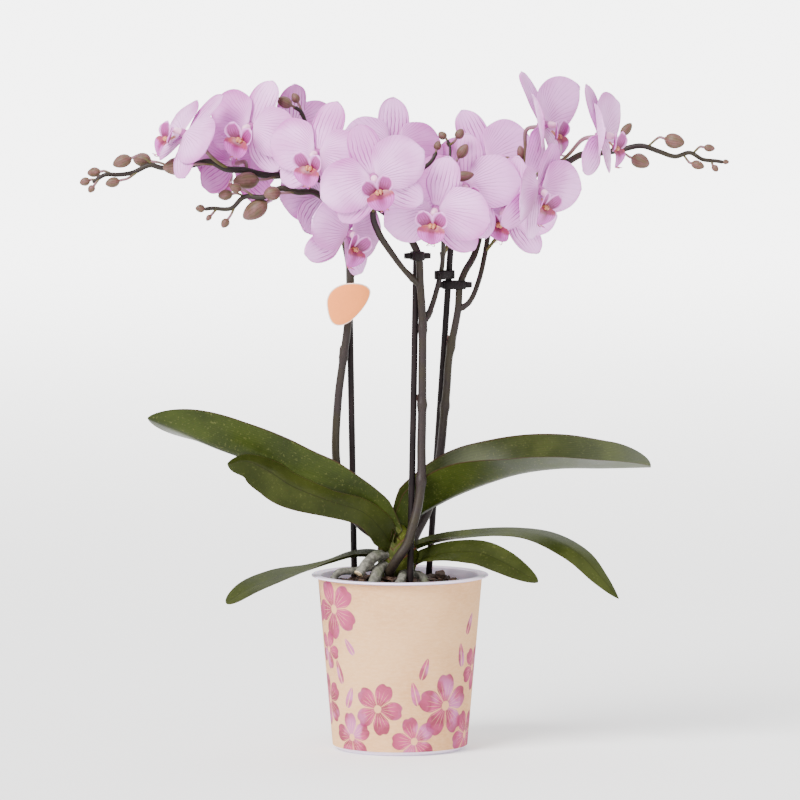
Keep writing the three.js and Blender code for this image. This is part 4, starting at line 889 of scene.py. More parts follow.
# Flower stalks are tender: green at the stem and flushed pink towards the bloom.
def stalkSkin():
    material, tree, where, along, _ = blank("flowerStalkSkin")
    shift = add(tree, "Math MULTIPLY_ADD", add(tree, "TexNoise", where, every(5), 3), 0.3, along)
    ground = add(tree, "Mix", add(tree, "MapRange", shift, 0.35, 1.1), colour(spikeColours["stalk"]),
                 colour(spikeColours["stalkTop"]))
    return finish(material, {"Base Color": ground, "Roughness": 0.5, "Specular IOR Level": 0.25,
                             "Subsurface Weight": 0.1, "Subsurface Scale": 0.001})


# Bud skin: dull and mauve-brown with darker streaks from base to tip, and greener where it joins its stalk.
def budSkin():
    material, tree, where, along, across = blank("budSkin")
    wobble = add(tree, "TexNoise", where, every(3.85), 2)
    streak = add(tree, "Math PINGPONG", add(tree, "Math MULTIPLY_ADD", across, 16, wobble), 0.5)
    drift = add(tree, "Math MULTIPLY", wobble, 0.4)
    ribs = add(tree, "Math PINGPONG", add(tree, "Math MULTIPLY_ADD", across, 5, drift), 0.5)
    ground = add(tree, "Mix", add(tree, "MapRange", ribs, 0.3, 0.1, 0, 0.75), colour(spikeColours["bud"]),
                 colour(spikeColours["budGreen"]))
    ground = add(tree, "Mix", add(tree, "MapRange", streak, 0.22, 0.04, 0, 0.6), ground,
                 colour(spikeColours["budDark"]))
    ground = add(tree, "Mix", add(tree, "MapRange", wobble, 0.45, 0.75, 0, 0.5), ground,
                 colour(spikeColours["budPink"]))
    ground = add(tree, "Mix", add(tree, "MapRange", along, 0.3, 0, 0, 0.7), ground,
                 colour(spikeColours["budGreen"]))
    return finish(material, {"Base Color": ground, "Roughness": 0.5, "Specular IOR Level": 0.3,
                             "Subsurface Weight": 0.1, "Subsurface Scale": 0.001,
                             "Normal": add(tree, "Bump", Height=streak, Distance=0.00015, Strength=0.4)})


# Bracts are dry and papery: brown and without gloss, paler at the tip.
def bractSkin():
    material, tree, where, along, _ = blank("bractSkin")
    mottle = add(tree, "TexNoise", where, every(2.38), 3)
    ground = add(tree, "Mix", mottle, colour(spikeColours["bract"]), colour(spikeColours["bractDark"]))
    ground = add(tree, "Mix", add(tree, "MapRange", along, 0.7, 1, 0, 0.6), ground,
                 colour(spikeColours["bractTip"]))
    return finish(material, {"Base Color": ground, "Roughness": 0.65, "Specular IOR Level": 0.25})


def makeSpikes():
    skins = [stemSkin(), stalkSkin(), budSkin(), bractSkin()]
    for side in ("left", "centre", "right"):
        skin = Skin()
        for name, stem in stems.items():
            if stem["spike"] == side:
                stemInto(skin, name)
        for n, (stem, share, at, size, rise) in enumerate(buds):
            if stems[stem]["spike"] == side:
                budInto(skin, stem, share, at, size, rise, n)
        for n, bloom in enumerate(blooms.values()):
            if stems[bloom["stem"]]["spike"] == side:
                stalkInto(skin, bloom, n + 60)
        skin.piece("spike." + side, skins, ["spike_" + side], "spike")


makeSpikes()
print("spikes")


# The crown: an oval stem wrapped in the sheaths of its leaves, which meet in a V at the front. Its sections
# are height, half width and half depth.
crownShape = {
    "x": -1.5, "sheathThickness": 0.7, "wrap": 112, "swell": 0.7,
    "sections": [(81, 3.4, 3.4), (90, 7, 6), (98, 9, 7), (104, 9, 6.2), (110, 8, 4.6), (115, 6, 3),
                 (118, 3, 1.6), (118.6, 0.4, 0.3)],
    "sheaths": [
        {"way": -1, "low": 88, "high": 106, "front": 93, "away": 0.5},
        {"way": 1, "low": 89, "high": 107, "front": 95, "away": 0.9},
        {"way": -1, "low": 92, "high": 113, "front": 99, "away": 0.15},
        {"way": 1, "low": 95, "high": 116, "front": 104, "away": 0.45},
        {"way": -1, "low": 99, "high": 119, "front": 109, "away": 0.1},
    ],
}

# Leaves: the keel's line, base first, the shares of the width near the crown and a third of the way out,
# where the tip starts and how pointed it is, and in degrees how far the upper face leans to the viewer and
# how far the halves fold up, at the base, the middle and the tip.
leaves = {
    "leaf_upper_left": {"halfWidth": 20.5, "base": 0.5, "waist": 0.96, "tip": (0.7, 0.7),
        "lean": (8, -20, -40), "fold": (62, 48, 12), "spine": [
        (-3, 1, 113), (-12.3, -1, 123), (-20, -2.5, 127.6), (-36, -6, 133.8), (-53.5, -10, 141),
        (-76.7, -15, 152.4), (-96, -18, 160.4), (-113.3, -20, 168.6), (-131.3, -21, 175.8),
    ]},
    "leaf_middle_left": {"halfWidth": 13.4, "base": 0.74, "waist": 0.64, "tip": (0.72, 0.5),
        "lean": (50, 46, 38), "fold": (10, -10, -26), "spine": [
        (-4.5, -4, 107.5), (-12.3, -10, 118.6), (-20, -15, 125.8), (-37, -21, 132), (-57, -27, 140.8),
        (-68.4, -30, 148.6), (-80, -33, 154), (-89.4, -35, 152.6),
    ]},
    "leaf_lower_left": {"halfWidth": 9.5, "base": 0.7, "waist": 0.4, "tip": (0.75, 0.5),
        "lean": (10, 6, 24), "fold": (30, 14, 6), "spine": [
        (-5, 3, 97), (-13, 3, 100.5), (-24, 0, 101.5), (-36, -6, 99), (-50, -12, 95), (-65, -17, 91),
        (-79, -21, 86), (-90.5, -24, 79),
    ]},
    "leaf_upper_right": {"halfWidth": 24.5, "base": 0.66, "waist": 1, "tip": (0.85, 0.5),
        "lean": (12, 15, 4), "fold": (84, 38, 14), "spine": [
        (1, 3, 113), (11, 4, 123), (21, 3, 129), (32, 1, 134.5), (47, -2, 140.5), (63, -5, 145.5),
        (84, -8, 148.5), (106, -10, 148.8), (131, -12, 149.5),
    ]},
    "leaf_middle_right": {"halfWidth": 9, "base": 0.6, "waist": 0.62, "tip": (0.6, 0.8),
        "lean": (10, 18, 40), "fold": (40, 0, -14), "spine": [
        (2, 1, 100), (9, 1, 105.5), (21, 0, 109.5), (37, -3, 112.2), (52, -7, 114.3), (66, -10, 114.4),
        (79, -14, 111.5), (94, -18, 103.5), (104.5, -21, 92.5), (114, -23, 81.4),
    ]},
    "leaf_lower_right": {"halfWidth": 8.4, "base": 0.75, "waist": 1, "tip": (0.6, 0.6),
        "lean": (30, 45, 45), "fold": (34, 5, 5), "spine": [
        (4, 0, 95), (10, -3, 98.6), (16.4, -7.4, 101.4), (28, -14, 104.4), (41, -20, 104.9),
        (52.5, -25, 101), (62.6, -29, 95.9), (71.7, -32, 91.1),
    ]},
}

leafShape = {
    "thickness": 1.7, "edge": 0.4, "rows": 64, "columns": 25, "wave": 0.8, "footDrop": 9, "footReach": 0.75,
}
leafColours = {
    "upper": "#232C07",
    "upperPale": "#353F10",
    "under": "#252B0B",
    "underPale": "#363C15",
    "speckle": "#6A6B3C",
    "veinsAndMidribShade": "#191C05",
    "margin": "#3A1E17",
}


def threeWay(values, u):
    base, middle, tip = values
    return mix(base, middle, 2 * u) if u < 0.5 else mix(middle, tip, 2 * u - 1)


def leafOutline(u, leaf):
    start, power = leaf["tip"]
    inner = mix(leaf["base"], leaf["waist"], float(smooth(u, 0, 0.35)))
    outer = mix(leaf["waist"], 1, float(smooth(u, 0.35, 0.7)))
    body = min(1, 0.6 + u / 0.25) * (inner if u < 0.35 else outer)
    return body * max(0, 1 - (max(0, u - start) / (1.001 - start)) ** 2) ** power


def leafInto(skin, leaf, seed):
    rows = leafShape["rows"]
    us = 1 - (1 - np.linspace(0, 1, rows)) ** 1.25
    fine = curveThrough(leaf["spine"], 400)
    line = np.stack([np.interp(us, np.linspace(0, 1, 400), fine[:, k]) for k in range(3)], axis=1)
    # its foot runs on into the crown
    foot = mix(line[0], np.array([crownShape["x"], 0, line[0][2] - leafShape["footDrop"]]),
               leafShape["footReach"])
    line = np.vstack([[mix(line[0], foot, share) for share in (1, 0.67, 0.33)], line])
    us = np.concatenate([[0, 0, 0], us])
    ways = tangents(line)
    vs = spaced(leafShape["columns"])
    grid = np.zeros((len(us), len(vs), 3))
    thickness = np.zeros((len(us), len(vs)))
    for i, u in enumerate(us):
        turn = math.radians(threeWay(leaf["lean"], u))
        up = np.array([0, -math.sin(turn), math.cos(turn)])
        up = unit(up - ways[i] * up.dot(ways[i]))
        side = np.cross(ways[i], up)
        opening = math.radians(threeWay(leaf["fold"], u))
        reach = leaf["halfWidth"] * leafOutline(u, leaf)
        lift = (np.hypot(vs, 0.1) - 0.1) * reach * math.sin(opening) / 0.905
        wave = leafShape["wave"] * np.sin(9 * u + 5 * draw(seed)) * vs * np.abs(vs) * min(1, 3 * u) * (1 - u)
        offset = (vs * reach * math.cos(opening))[:, None] * side + (lift + wave)[:, None] * up
        grid[i] = line[i] + offset
        thickness[i] = leafShape["thickness"] * mix(1, leafShape["edge"], vs * vs) * (1 - 0.45 * u)
    skin.blade(grid, thickness, us, vs, 0, 1)


# Leaf skin is waxy, with a low dull gloss: darker parallel veins, fine pale speckles and a thin mauve-brown
# edge, with painted shade darkening the sunken midrib.
def leafSkin(name, ground, pale, speckled):
    material, tree, where, _, across = blank(name)
    patches = add(tree, "TexNoise", where, every(26.3), 3)
    base = add(tree, "Mix", add(tree, "MapRange", patches, 0.35, 0.7), colour(ground), colour(pale))
    wobble = add(tree, "TexNoise", where, every(11.1), 2)
    lines = add(tree, "Math PINGPONG", add(tree, "Math MULTIPLY_ADD", across, 34, wobble), 0.5)
    base = add(tree, "Mix", add(tree, "MapRange", lines, 0.3, 0.05, 0, 0.22), base,
               colour(leafColours["veinsAndMidribShade"]))
    dots = add(tree, "MapRange", add(tree, "TexNoise", where, every(1.22), 2), 0.6, 0.7)
    base = add(tree, "Mix", add(tree, "Math MULTIPLY", dots, speckled), base, colour(leafColours["speckle"]))
    fromMiddle = add(tree, "Math ABSOLUTE", add(tree, "Math SUBTRACT", across, 0.5))
    # Painted shade: a dark line along the midrib, in its groove. The same dark colour also draws the veins,
    # which are the leaf's own tone.
    rib = add(tree, "MapRange", fromMiddle, 0.022, 0.004)
    base = add(tree, "Mix", add(tree, "Math MULTIPLY", rib, 0.6), base, colour(leafColours["veinsAndMidribShade"]))
    edge = add(tree, "MapRange", fromMiddle, 0.478, 0.496)
    base = add(tree, "Mix", add(tree, "Math MULTIPLY", edge, 0.8), base, colour(leafColours["margin"]))
    height = add(tree, "Math MULTIPLY_ADD", dots, 0.3, lines)
    rough = add(tree, "MapRange", patches, 0.3, 0.7, 0.3, 0.42)
    return finish(material, {
        "Base Color": base,
        "Roughness": rough,
        "Specular IOR Level": 0.14,
        "Normal": add(tree, "Bump", Height=height, Distance=0.00012, Strength=0.35),
    })


def makeLeaves():
    skins = [
        leafSkin("leafUpperSide", leafColours["upper"], leafColours["upperPale"], 0.35),
        leafSkin("leafUnderside", leafColours["under"], leafColours["underPale"], 0.15),
    ]
    for n, (name, leaf) in enumerate(leaves.items()):
        skin = Skin()
        leafInto(skin, leaf, n)
        skin.piece("leaf." + name[5:], skins, [name], "leaf")


makeLeaves()
print("leaves")


crownColours = {"sheath": "#323809", "sheathPale": "#484E15", "speckle": "#75743C", "edge": "#48231A"}


def crownReach(z):
    heights, wide, deep = np.array(crownShape["sections"]).T
    return np.interp(z, heights, wide), np.interp(z, heights, deep)


# Leaf sheaths: a leaf's wax in a paler green, speckled, with a thin dry brown edge.
def crownSkin():
    material, tree, where, along, _ = blank("sheathSkin")
    patches = add(tree, "TexNoise", where, every(9.09), 3)
    base = add(tree, "Mix", add(tree, "MapRange", patches, 0.35, 0.7), colour(crownColours["sheath"]),
               colour(crownColours["sheathPale"]))
    dots = add(tree, "MapRange", add(tree, "TexNoise", where, every(1.11), 2), 0.58, 0.68)
    base = add(tree, "Mix", add(tree, "Math MULTIPLY", dots, 0.4), base, colour(crownColours["speckle"]))
    edge = add(tree, "MapRange", along, 0.94, 0.985)
    base = add(tree, "Mix", edge, base, colour(crownColours["edge"]))
    return finish(material, {"Base Color": base, "Roughness": 0.45, "Specular IOR Level": 0.14,
                             "Normal": add(tree, "Bump", Height=dots, Distance=0.0001, Strength=0.3)})


def makeCrown():
    skin = Skin()
    heights = np.linspace(crownShape["sections"][0][0], crownShape["sections"][-1][0], 40)
    angles = np.linspace(0, 2 * math.pi, 32, endpoint=False)
    rings = []
    for z in heights:
        wide, deep = crownReach(z)
        rings.append([(crownShape["x"] + wide * math.cos(a), deep * math.sin(a), z) for a in angles])
    skin.loft(rings, ringPlaces([0.4] * len(rings), 32), 0)
    us, vs = np.linspace(0, 1, 26), spaced(31)
    for sheath in crownShape["sheaths"]:
        grid = np.zeros((26, 31, 3))
        for i, u in enumerate(us):
            for j, v in enumerate(vs):
                a = v * math.radians(crownShape["wrap"])
                top = mix(sheath["high"], sheath["front"], abs(v) ** 1.6)
                z = mix(sheath["low"], top, u)
                wide, deep = crownReach(z)
                away = sheath["away"] + crownShape["swell"] * u * (1 - v * v)
                x = sheath["way"] * (wide + away) * math.cos(a)
                grid[i, j] = (crownShape["x"] + x, (deep + away) * math.sin(a), z)
        skin.blade(grid, crownShape["sheathThickness"], us, vs, 0)
    skin.piece("crown", [crownSkin()], ["crown"], "crown")


# Aerial roots, each from inside the crown to its tip.
roots = {
    "root_cut": {"radius": 2.3, "path": [
        (-6, -3, 102), (-11.5, -8.5, 102.5), (-16.5, -15, 100), (-21.5, -20, 94),
    ]},
    "root_front_left": {"radius": 2.4, "path": [
        (-6, -3, 97), (-10.3, -9, 96), (-12.8, -17, 92), (-15, -23, 84), (-15.5, -25, 76),
    ]},
    "root_rim": {"radius": 1.5, "path": [
        (-7, 0, 94), (-15, -4, 95.4), (-24, -9, 94.6), (-32, -12, 94), (-35.5, -13, 89), (-36, -13, 80),
    ]},
    "root_front": {"radius": 1.9, "path": [
        (2, -4, 93), (1.6, -9, 92.6), (0.6, -16, 90.5), (-3, -22, 84), (-4.5, -25, 75),
    ]},
    "root_right": {"radius": 1.8, "path": [
        (4, -1, 92), (11, -5, 91.5), (14, -8.5, 86), (15, -11, 78),
    ]},
}

rootShape = {"fullness": 1.22, "sides": 18, "cutBulge": 0.12}
rootColours = {
    "skin": "#757268", "dark": "#4B4A42", "green": "#4C5237", "cut": "#D8C39A", "cutRing": "#8F6F48",
    "cutFibre": "#6E5636",
}


# Velamen, the spongy coat of an aerial root: matt silver grey, greener where it is damp.
def rootSkin():
    material, tree, where, *_ = blank("rootVelamen")
    mottle = add(tree, "TexNoise", where, every(2.08), 4, 0.65)
    broad = add(tree, "TexNoise", where, every(9.09), 2)
    base = add(tree, "Mix", add(tree, "MapRange", mottle, 0.38, 0.66), colour(rootColours["dark"]),
               colour(rootColours["skin"]))
    base = add(tree, "Mix", add(tree, "MapRange", broad, 0.5, 0.75, 0, 0.7), base,
               colour(rootColours["green"]))
    return finish(material,
                  {"Base Color": base, "Roughness": 0.75,
                   "Normal": add(tree, "Bump", Height=mottle, Distance=0.0003, Strength=0.7)})


# A cut root: dry pale flesh with a darker ring.
def cutSkin():
    material, tree, where, along, _ = blank("rootCutEnd")
    ring = add(tree, "Math MULTIPLY", add(tree, "MapRange", along, 0.35, 0.5),
               add(tree, "MapRange", along, 0.75, 0.6))
    fibre = add(tree, "TexNoise", where, every(0.667), 2)
    base = add(tree, "Mix", add(tree, "Math MULTIPLY", ring, 0.7), colour(rootColours["cut"]),
               colour(rootColours["cutRing"]))
    base = add(tree, "Mix", add(tree, "MapRange", fibre, 0.5, 0.7, 0, 0.3), base,
               colour(rootColours["cutFibre"]))
    return finish(material, {"Base Color": base, "Roughness": 0.8})


def makeRoots():
    skins = [rootSkin(), cutSkin()]
    sides = rootShape["sides"]
    for n, (name, root) in enumerate(roots.items()):
        skin = Skin()
        line = curveThrough(root["path"], 40)
        t = np.linspace(0, 1, 40)
        radii = rootShape["fullness"] * root["radius"] * (1 - 0.12 * np.sin(9 * t) * t)
        radii[-1] *= 0.96
        skin.tube(line, radii, sides, 0,
                  rib=lambda a, u: 0.05 * np.sin(3 * a + 8 * u + n) + 0.03 * np.sin(5 * a - 17 * u))
        if name == "root_cut":
            way = tangents(line)[-1]
            normal = unit(np.cross(way, (0, 0, 1)))
            other = np.cross(way, normal)
            shares = np.linspace(1, 0.03, 7)
            rings = []
            for share in shares:
                middle = line[-1] + way * (rootShape["cutBulge"] + 0.1 * math.sin(6 * share))
                rings.append([middle + share * radii[-1] * (math.cos(a) * normal + math.sin(a) * other)
                              for a in np.linspace(0, 2 * math.pi, sides, endpoint=False)])
            skin.loft(rings, ringPlaces(shares, sides), 1)
        skin.piece("root." + name[5:], skins, [name], "root")


makeCrown()
makeRoots()
print("crown and roots")


# The pot: height, radii and wall, with a rolled rim, a foot ring, a raised middle and drain holes.
potShape = {
    "height": 92, "foot": 32.6, "heel": 34.6, "heelHeight": 2.2, "top": 42.4, "wall": 1.2, "rim": 46.5,
    "rimThickness": 1.0, "recess": 1.6, "ring": 5, "boss": 9, "sides": 128, "drain": 3, "drainCircle": 18,
    "drains": 4, "sharp": 38,
}
potColours = {"body": "#EBDDF0", "haze": "#E2D2EA", "drain": "#1A1310", "drainPale": "#3B2A21"}


def potRadius(z):
    share = (z - potShape["heelHeight"]) / (potShape["height"] - potShape["heelHeight"])
    return mix(potShape["heel"], potShape["top"], share)


# The unrolled surface's place: round it at this radius, in units of so many millimetres, and up it likewise.
unrolled = {"radius": 0.4, "unit": 100}


def turnedInto(skin, profile, sides):
    angles = np.linspace(0, 2 * math.pi, sides, endpoint=False)
    profile = np.array(profile, dtype=float)
    count = len(profile)
    rings = np.stack([profile[:, :1] * np.cos(angles), profile[:, :1] * np.sin(angles),
                      np.repeat(profile[:, 1:], sides, axis=1)], axis=2)
    faces, places, points = [], [], []
    # one extra column closes the unrolled surface, so its place runs on without a jump
    for i in range(count):
        for j in range(sides + 1):
            points.append(rings[i, j % sides])
            places.append((j / sides * 2 * math.pi * unrolled["radius"], profile[i, 1] / unrolled["unit"]))
    for i in range(count - 1):
        for j in range(sides):
            a, b = i * (sides + 1) + j, (i + 1) * (sides + 1) + j
            faces.append((a, a + 1, b + 1, b))
    skin.add(points, faces, places)


# Moulded polypropylene: smooth, a pale lilac white with a soft gloss. Its haze of fine grain is drawn coarser
# than it is, so that it shows.
def potPlastic():
    material, tree, where, *_ = blank("mouldedPlastic")
    haze = add(tree, "TexNoise", where, every(33.3), 2)
    fine = add(tree, "TexNoise", where, every(0.625), 2)
    base = add(tree, "Mix", haze, colour(potColours["body"]), colour(potColours["haze"]))
    return finish(material, {
        "Base Color": base,
        "Roughness": add(tree, "MapRange", haze, 0.3, 0.7, 0.28, 0.4),
        "Subsurface Weight": 0.1,
        "Subsurface Scale": 0.002,
        "Normal": add(tree, "Bump", Height=fine, Distance=0.00003, Strength=0.25),
    })


def makePot():
    p = potShape
    floor = p["recess"] + p["wall"]
    top = p["height"]
    under = top - p["rimThickness"]
    edge = p["rimThickness"] / 2

    def inner(z):
        return potRadius(z) - p["wall"]

    profile = [
        (0.01, 0), (p["boss"], 0), (p["boss"] + 1, p["recess"]), (p["foot"] - p["ring"], p["recess"]),
        (p["foot"] - p["ring"], 0), (p["foot"] - 0.4, 0), (p["foot"], 0.1),
        (p["heel"] - 0.25, p["heelHeight"] - 0.6), (p["heel"], p["heelHeight"]),
        (potRadius(under - 1.5), under - 1.5), (potRadius(under) + 0.5, under - 0.4),
        (potRadius(under) + 1.4, under - 0.15),
    ]
    for a in np.linspace(-0.5 * math.pi, 0.5 * math.pi, 9):
        profile.append((p["rim"] - edge + edge * math.cos(a), top - edge + edge * math.sin(a)))
    profile += [
        (inner(top) + 1.2, top - 0.05), (inner(top) + 0.3, top - 0.6), (inner(top - 2), top - 2),
        (inner(floor + 2.4), floor + 2.4), (inner(floor) - 2.4, floor), (0.01, floor),
    ]
    skin = Skin()
    turnedInto(skin, profile, p["sides"])
    for n in range(p["drains"]):
        a = 2 * math.pi * (n + 0.5) / p["drains"]
        centre = np.array([p["drainCircle"] * math.cos(a), p["drainCircle"] * math.sin(a), 0])
        line = [centre + (0, 0, p["recess"] - 0.12), centre + (0, 0, p["recess"] + 0.3)]
        skin.tube(line, p["drain"], 24, 1)
    made = skin.piece("pot", [potPlastic(), drainShade()], ["pot"], "pot")
    made.data.set_sharp_from_angle(angle=math.radians(p["sharp"]))


# Drain holes are shown as discs of the dark bark behind them.
def drainShade():
    material, tree, where, *_ = blank("barkInDrainHole")
    base = add(tree, "Mix", add(tree, "TexNoise", where, every(1.43), 3), colour(potColours["drain"]),
               colour(potColours["drainPale"]))
    return finish(material, {"Base Color": base, "Roughness": 0.9})


# The paper sleeve. Motifs are places on the unrolled paper in millimetres: round the pot from the back seam,
# and up from the foot.
sleeveShape = {"low": 2.3, "high": 90.2, "thickness": 0.5, "gap": 0.35, "sides": 160}
sleeveColours = {
    "paper": "#DDAC7A",
    "paperShade": "#CB9766",
    "fibre": "#ECC69B",
    "pink": "#AE3B70",
    "rose": "#812249",
    "lilac": "#BC68A2",
    "line": "#E3B27F",
}
# Blossoms: place round, height, radius, turn in radians.
blossoms = [
    (31, 22, 17, 0.3), (54, 10, 14, 1.2), (73, 27, 15, 0.7), (95, 9, 14, 2.1), (113, 25, 15, 0.1),
    (134, 8, 14, 1.9), (153, 26, 18, 0.9), (174, 9, 15, 0.4), (178, 44, 13, 1.5), (197, 24, 15, 0.0),
    (216, 8, 14, 0.6), (236, 24, 17, 1.3), (4, 10, 15, 0.6), (26, 76, 15, 0.9), (14, 55, 9, 0.2),
    (87, 76, 17, 0.5), (78, 54, 11, 1.4), (62, 73, 13, 0.1), (228, 74, 13, 0.5), (243, 52, 8, 1.1),
]
# Buds and leaves: place round, height, length, width, lean in radians.
sprigs = [
    (50, 33, 12, 4.6, 0.5), (88, 43, 13, 4.6, 0.3), (95, 30, 12, 4.8, -0.4), (134, 33, 13, 4.6, 0.25),
    (139, 46, 12, 4.4, -0.3), (163, 52, 13, 4.8, 0.2), (169, 68, 12, 4.2, -0.35), (194, 56, 13, 4.6, 0.4),
    (214, 33, 13, 4.6, -0.3), (39, 60, 10, 3.8, 0.7), (32, 46, 9, 3.4, -0.4), (214, 61, 10, 3.8, -0.7),
    (16, 36, 11, 4.2, 0.2), (97, 57, 10, 3.8, 0.6),
]


# A five-petalled blossom at a place on the paper: how much of it covers a point, and its pale veins.
def blossomGroup():
    group = bpy.data.node_groups.new("blossomMotif", "ShaderNodeTree")
    for name in ("Round", "Height", "Centre", "Up", "Radius", "Turn"):
        group.interface.new_socket(name, in_out="INPUT", socket_type="NodeSocketFloat")
    for name in ("Cover", "Veins", "Depth"):
        group.interface.new_socket(name, in_out="OUTPUT", socket_type="NodeSocketFloat")
    given = group.nodes.new("NodeGroupInput").outputs
    x = add(group, "Math DIVIDE", add(group, "Math SUBTRACT", given["Round"], given["Centre"]),
            given["Radius"])
    y = add(group, "Math DIVIDE", add(group, "Math SUBTRACT", given["Height"], given["Up"]), given["Radius"])
    r = add(group, "Math SQRT",
            add(group, "Math ADD", add(group, "Math MULTIPLY", x, x), add(group, "Math MULTIPLY", y, y)))
    a = add(group, "Math ADD", add(group, "Math ARCTAN2", y, x), given["Turn"])
    petals = add(group, "Math ABSOLUTE", add(group, "Math COSINE", add(group, "Math MULTIPLY", a, 2.5)))
    edge = add(group, "Math MULTIPLY_ADD", add(group, "Math POWER", petals, 0.55), 0.62, 0.36)
    notch = add(group, "Math MULTIPLY", add(group, "Math POWER", petals, 30), 0.07)
    edge = add(group, "Math SUBTRACT", edge, notch)
    cover = add(group, "MapRange", add(group, "Math SUBTRACT", edge, r), -0.01, 0.03)
    fan = add(group, "Math ABSOLUTE", add(group, "Math SINE", add(group, "Math MULTIPLY", a, 12.5)))
    fan = add(group, "MapRange", fan, 0.22, 0.05)
    fan = add(group, "Math MULTIPLY", fan, add(group, "MapRange", r, 0.75, 0.4))
    gaps = add(group, "MapRange", petals, 0.16, 0.06)
    heart = add(group, "MapRange", r, 0.16, 0.12)
    veins = add(group, "Math MAXIMUM", add(group, "Math MAXIMUM", fan, gaps), heart)
    leaving = group.nodes.new("NodeGroupOutput")
    group.links.new(cover, leaving.inputs["Cover"])
    group.links.new(veins, leaving.inputs["Veins"])
    group.links.new(r, leaving.inputs["Depth"])
    return group


def sprigCover(tree, around, height, at, up, length, width, lean):
    dx = add(tree, "Math SUBTRACT", around, at)
    dy = add(tree, "Math SUBTRACT", height, up)
    c, s = math.cos(lean), math.sin(lean)
    x = add(tree, "Math MULTIPLY_ADD", dx, c, add(tree, "Math MULTIPLY", dy, s))
    y = add(tree, "Math MULTIPLY_ADD", dy, c, add(tree, "Math MULTIPLY", dx, -s))
    y = add(tree, "Math DIVIDE", y, length / 2)
    narrowing = add(tree, "Math MULTIPLY_ADD", y, -0.35, 1)
    x = add(tree, "Math DIVIDE", x, add(tree, "Math MULTIPLY", narrowing, width / 2))
    r = add(tree, "Math ADD", add(tree, "Math MULTIPLY", x, x), add(tree, "Math MULTIPLY", y, y))
    rib = add(tree, "MapRange", add(tree, "Math ABSOLUTE", x), 0.16, 0.05)
    return add(tree, "MapRange", r, 1.04, 0.94), rib


# Uncoated kraft paper, matt, printed with watercolour blossoms in pinks. Its fibres are drawn some ten times
# coarser than real ones, so that they show.
def sleevePaper():
    material, tree, where, along, across = blank("printedKraftPaper")
    around = add(tree, "Math MULTIPLY", along, unrolled["unit"])
    height = add(tree, "Math MULTIPLY", across, unrolled["unit"])
    fibreSpace = add(tree, "Mapping", where, Scale=(1, 1, 3.2))
    fibres = add(tree, "TexNoise", fibreSpace, every(3.33), 5, 0.7)
    clouds = add(tree, "TexNoise", where, every(45.5), 2)
    paper = add(tree, "Mix", add(tree, "MapRange", clouds, 0.3, 0.7), colour(sleeveColours["paper"]),
                colour(sleeveColours["paperShade"]))
    paper = add(tree, "Mix", add(tree, "MapRange", fibres, 0.35, 0.7, 0, 0.35), paper,
                colour(sleeveColours["fibre"]))
    wash = add(tree, "TexNoise", where, every(10.5), 4, 0.6, Distortion=0.8)
    ink = add(tree, "Mix", add(tree, "MapRange", wash, 0.36, 0.6), colour(sleeveColours["rose"]),
              colour(sleeveColours["pink"]))
    ink = add(tree, "Mix", add(tree, "MapRange", add(tree, "TexNoise", where, every(16.7), 3), 0.52, 0.66),
              ink, colour(sleeveColours["lilac"]))
    painted = paper
    for at, up, length, width, lean in sprigs:
        cover, rib = sprigCover(tree, around, height, at, up, length, width, lean)
        shade = add(tree, "Mix", add(tree, "Math MULTIPLY", rib, 0.7), ink, colour(sleeveColours["line"]))
        painted = add(tree, "Mix", add(tree, "Math MULTIPLY", cover, 0.92), painted, shade)
    group = blossomGroup()
    for at, up, radius, turn in blossoms:
        motif = add(tree, "Group", node_tree=group, Round=around, Height=height, Centre=at, Up=up,
                    Radius=radius, Turn=turn).node.outputs
        rim = add(tree, "MapRange", motif["Depth"], 0.45, 0.95, 0, 0.6)
        petal = add(tree, "Mix", rim, ink, colour(sleeveColours["rose"]))
        petal = add(tree, "Mix", add(tree, "Math MULTIPLY", motif["Veins"], 0.85), petal,
                    colour(sleeveColours["line"]))
        painted = add(tree, "Mix", add(tree, "Math MULTIPLY", motif["Cover"], 0.94), painted, petal)
    return finish(material, {"Base Color": painted, "Roughness": 0.82, "Specular IOR Level": 0.3,
                             "Normal": add(tree, "Bump", Height=fibres, Distance=0.0005, Strength=0.55)})


def makeSleeve():
    s = sleeveShape
    profile = []
    for z in np.linspace(s["low"], s["high"], 18):
        profile.append((potRadius(z) + s["gap"] + s["thickness"], z))
    profile.append((potRadius(s["high"]) + s["gap"], s["high"]))
    profile.append((potRadius(s["low"]) + s["gap"], s["low"]))
    profile.append(profile[0])
    skin = Skin()
    turnedInto(skin, profile, s["sides"])
    made = skin.piece("sleeve", [sleevePaper()], ["sleeve"], "sleeve")
    made.data.set_sharp_from_angle(angle=math.radians(potShape["sharp"]))
    # the seam is at the back
    made.data.transform(Matrix.Rotation(math.radians(90), 4, "Z"))


# Potting bark: a lumpy mound with chips of several sizes lying on it.
barkShape = {
    "edge": 84, "crown": 90, "low": 80, "gap": 0.4, "chips": 210, "length": (3.5, 11.0), "small": 0.55,
    "seed": 5, "sharp": 45,
}
barkColours = {"dark": "#17100D", "mid": "#2A1C15", "chip": "#412C20", "chipPale": "#6B4C39"}


def soilHeight(x, y):
    r = math.hypot(x, y) / potShape["top"]
    lumps = 0.7 * math.sin(0.31 * x + 1.3) * math.cos(0.27 * y) + 0.5 * math.sin(0.63 * y + 0.41 * x)
    return mix(barkShape["crown"], barkShape["edge"], min(1, r * r)) + lumps


# Crumbled potting bark: damp, dark and without gloss.
def barkSkin():
    material, tree, where, *_ = blank("pottingBark")
    crumbs = add(tree, "TexNoise", where, every(2.38), 5, 0.7)
    base = add(tree, "Mix", add(tree, "MapRange", crumbs, 0.4, 0.68), colour(barkColours["dark"]),
               colour(barkColours["mid"]))
    return finish(material,
                  {"Base Color": base, "Roughness": 0.9,
                   "Normal": add(tree, "Bump", Height=crumbs, Distance=0.0012, Strength=1)})


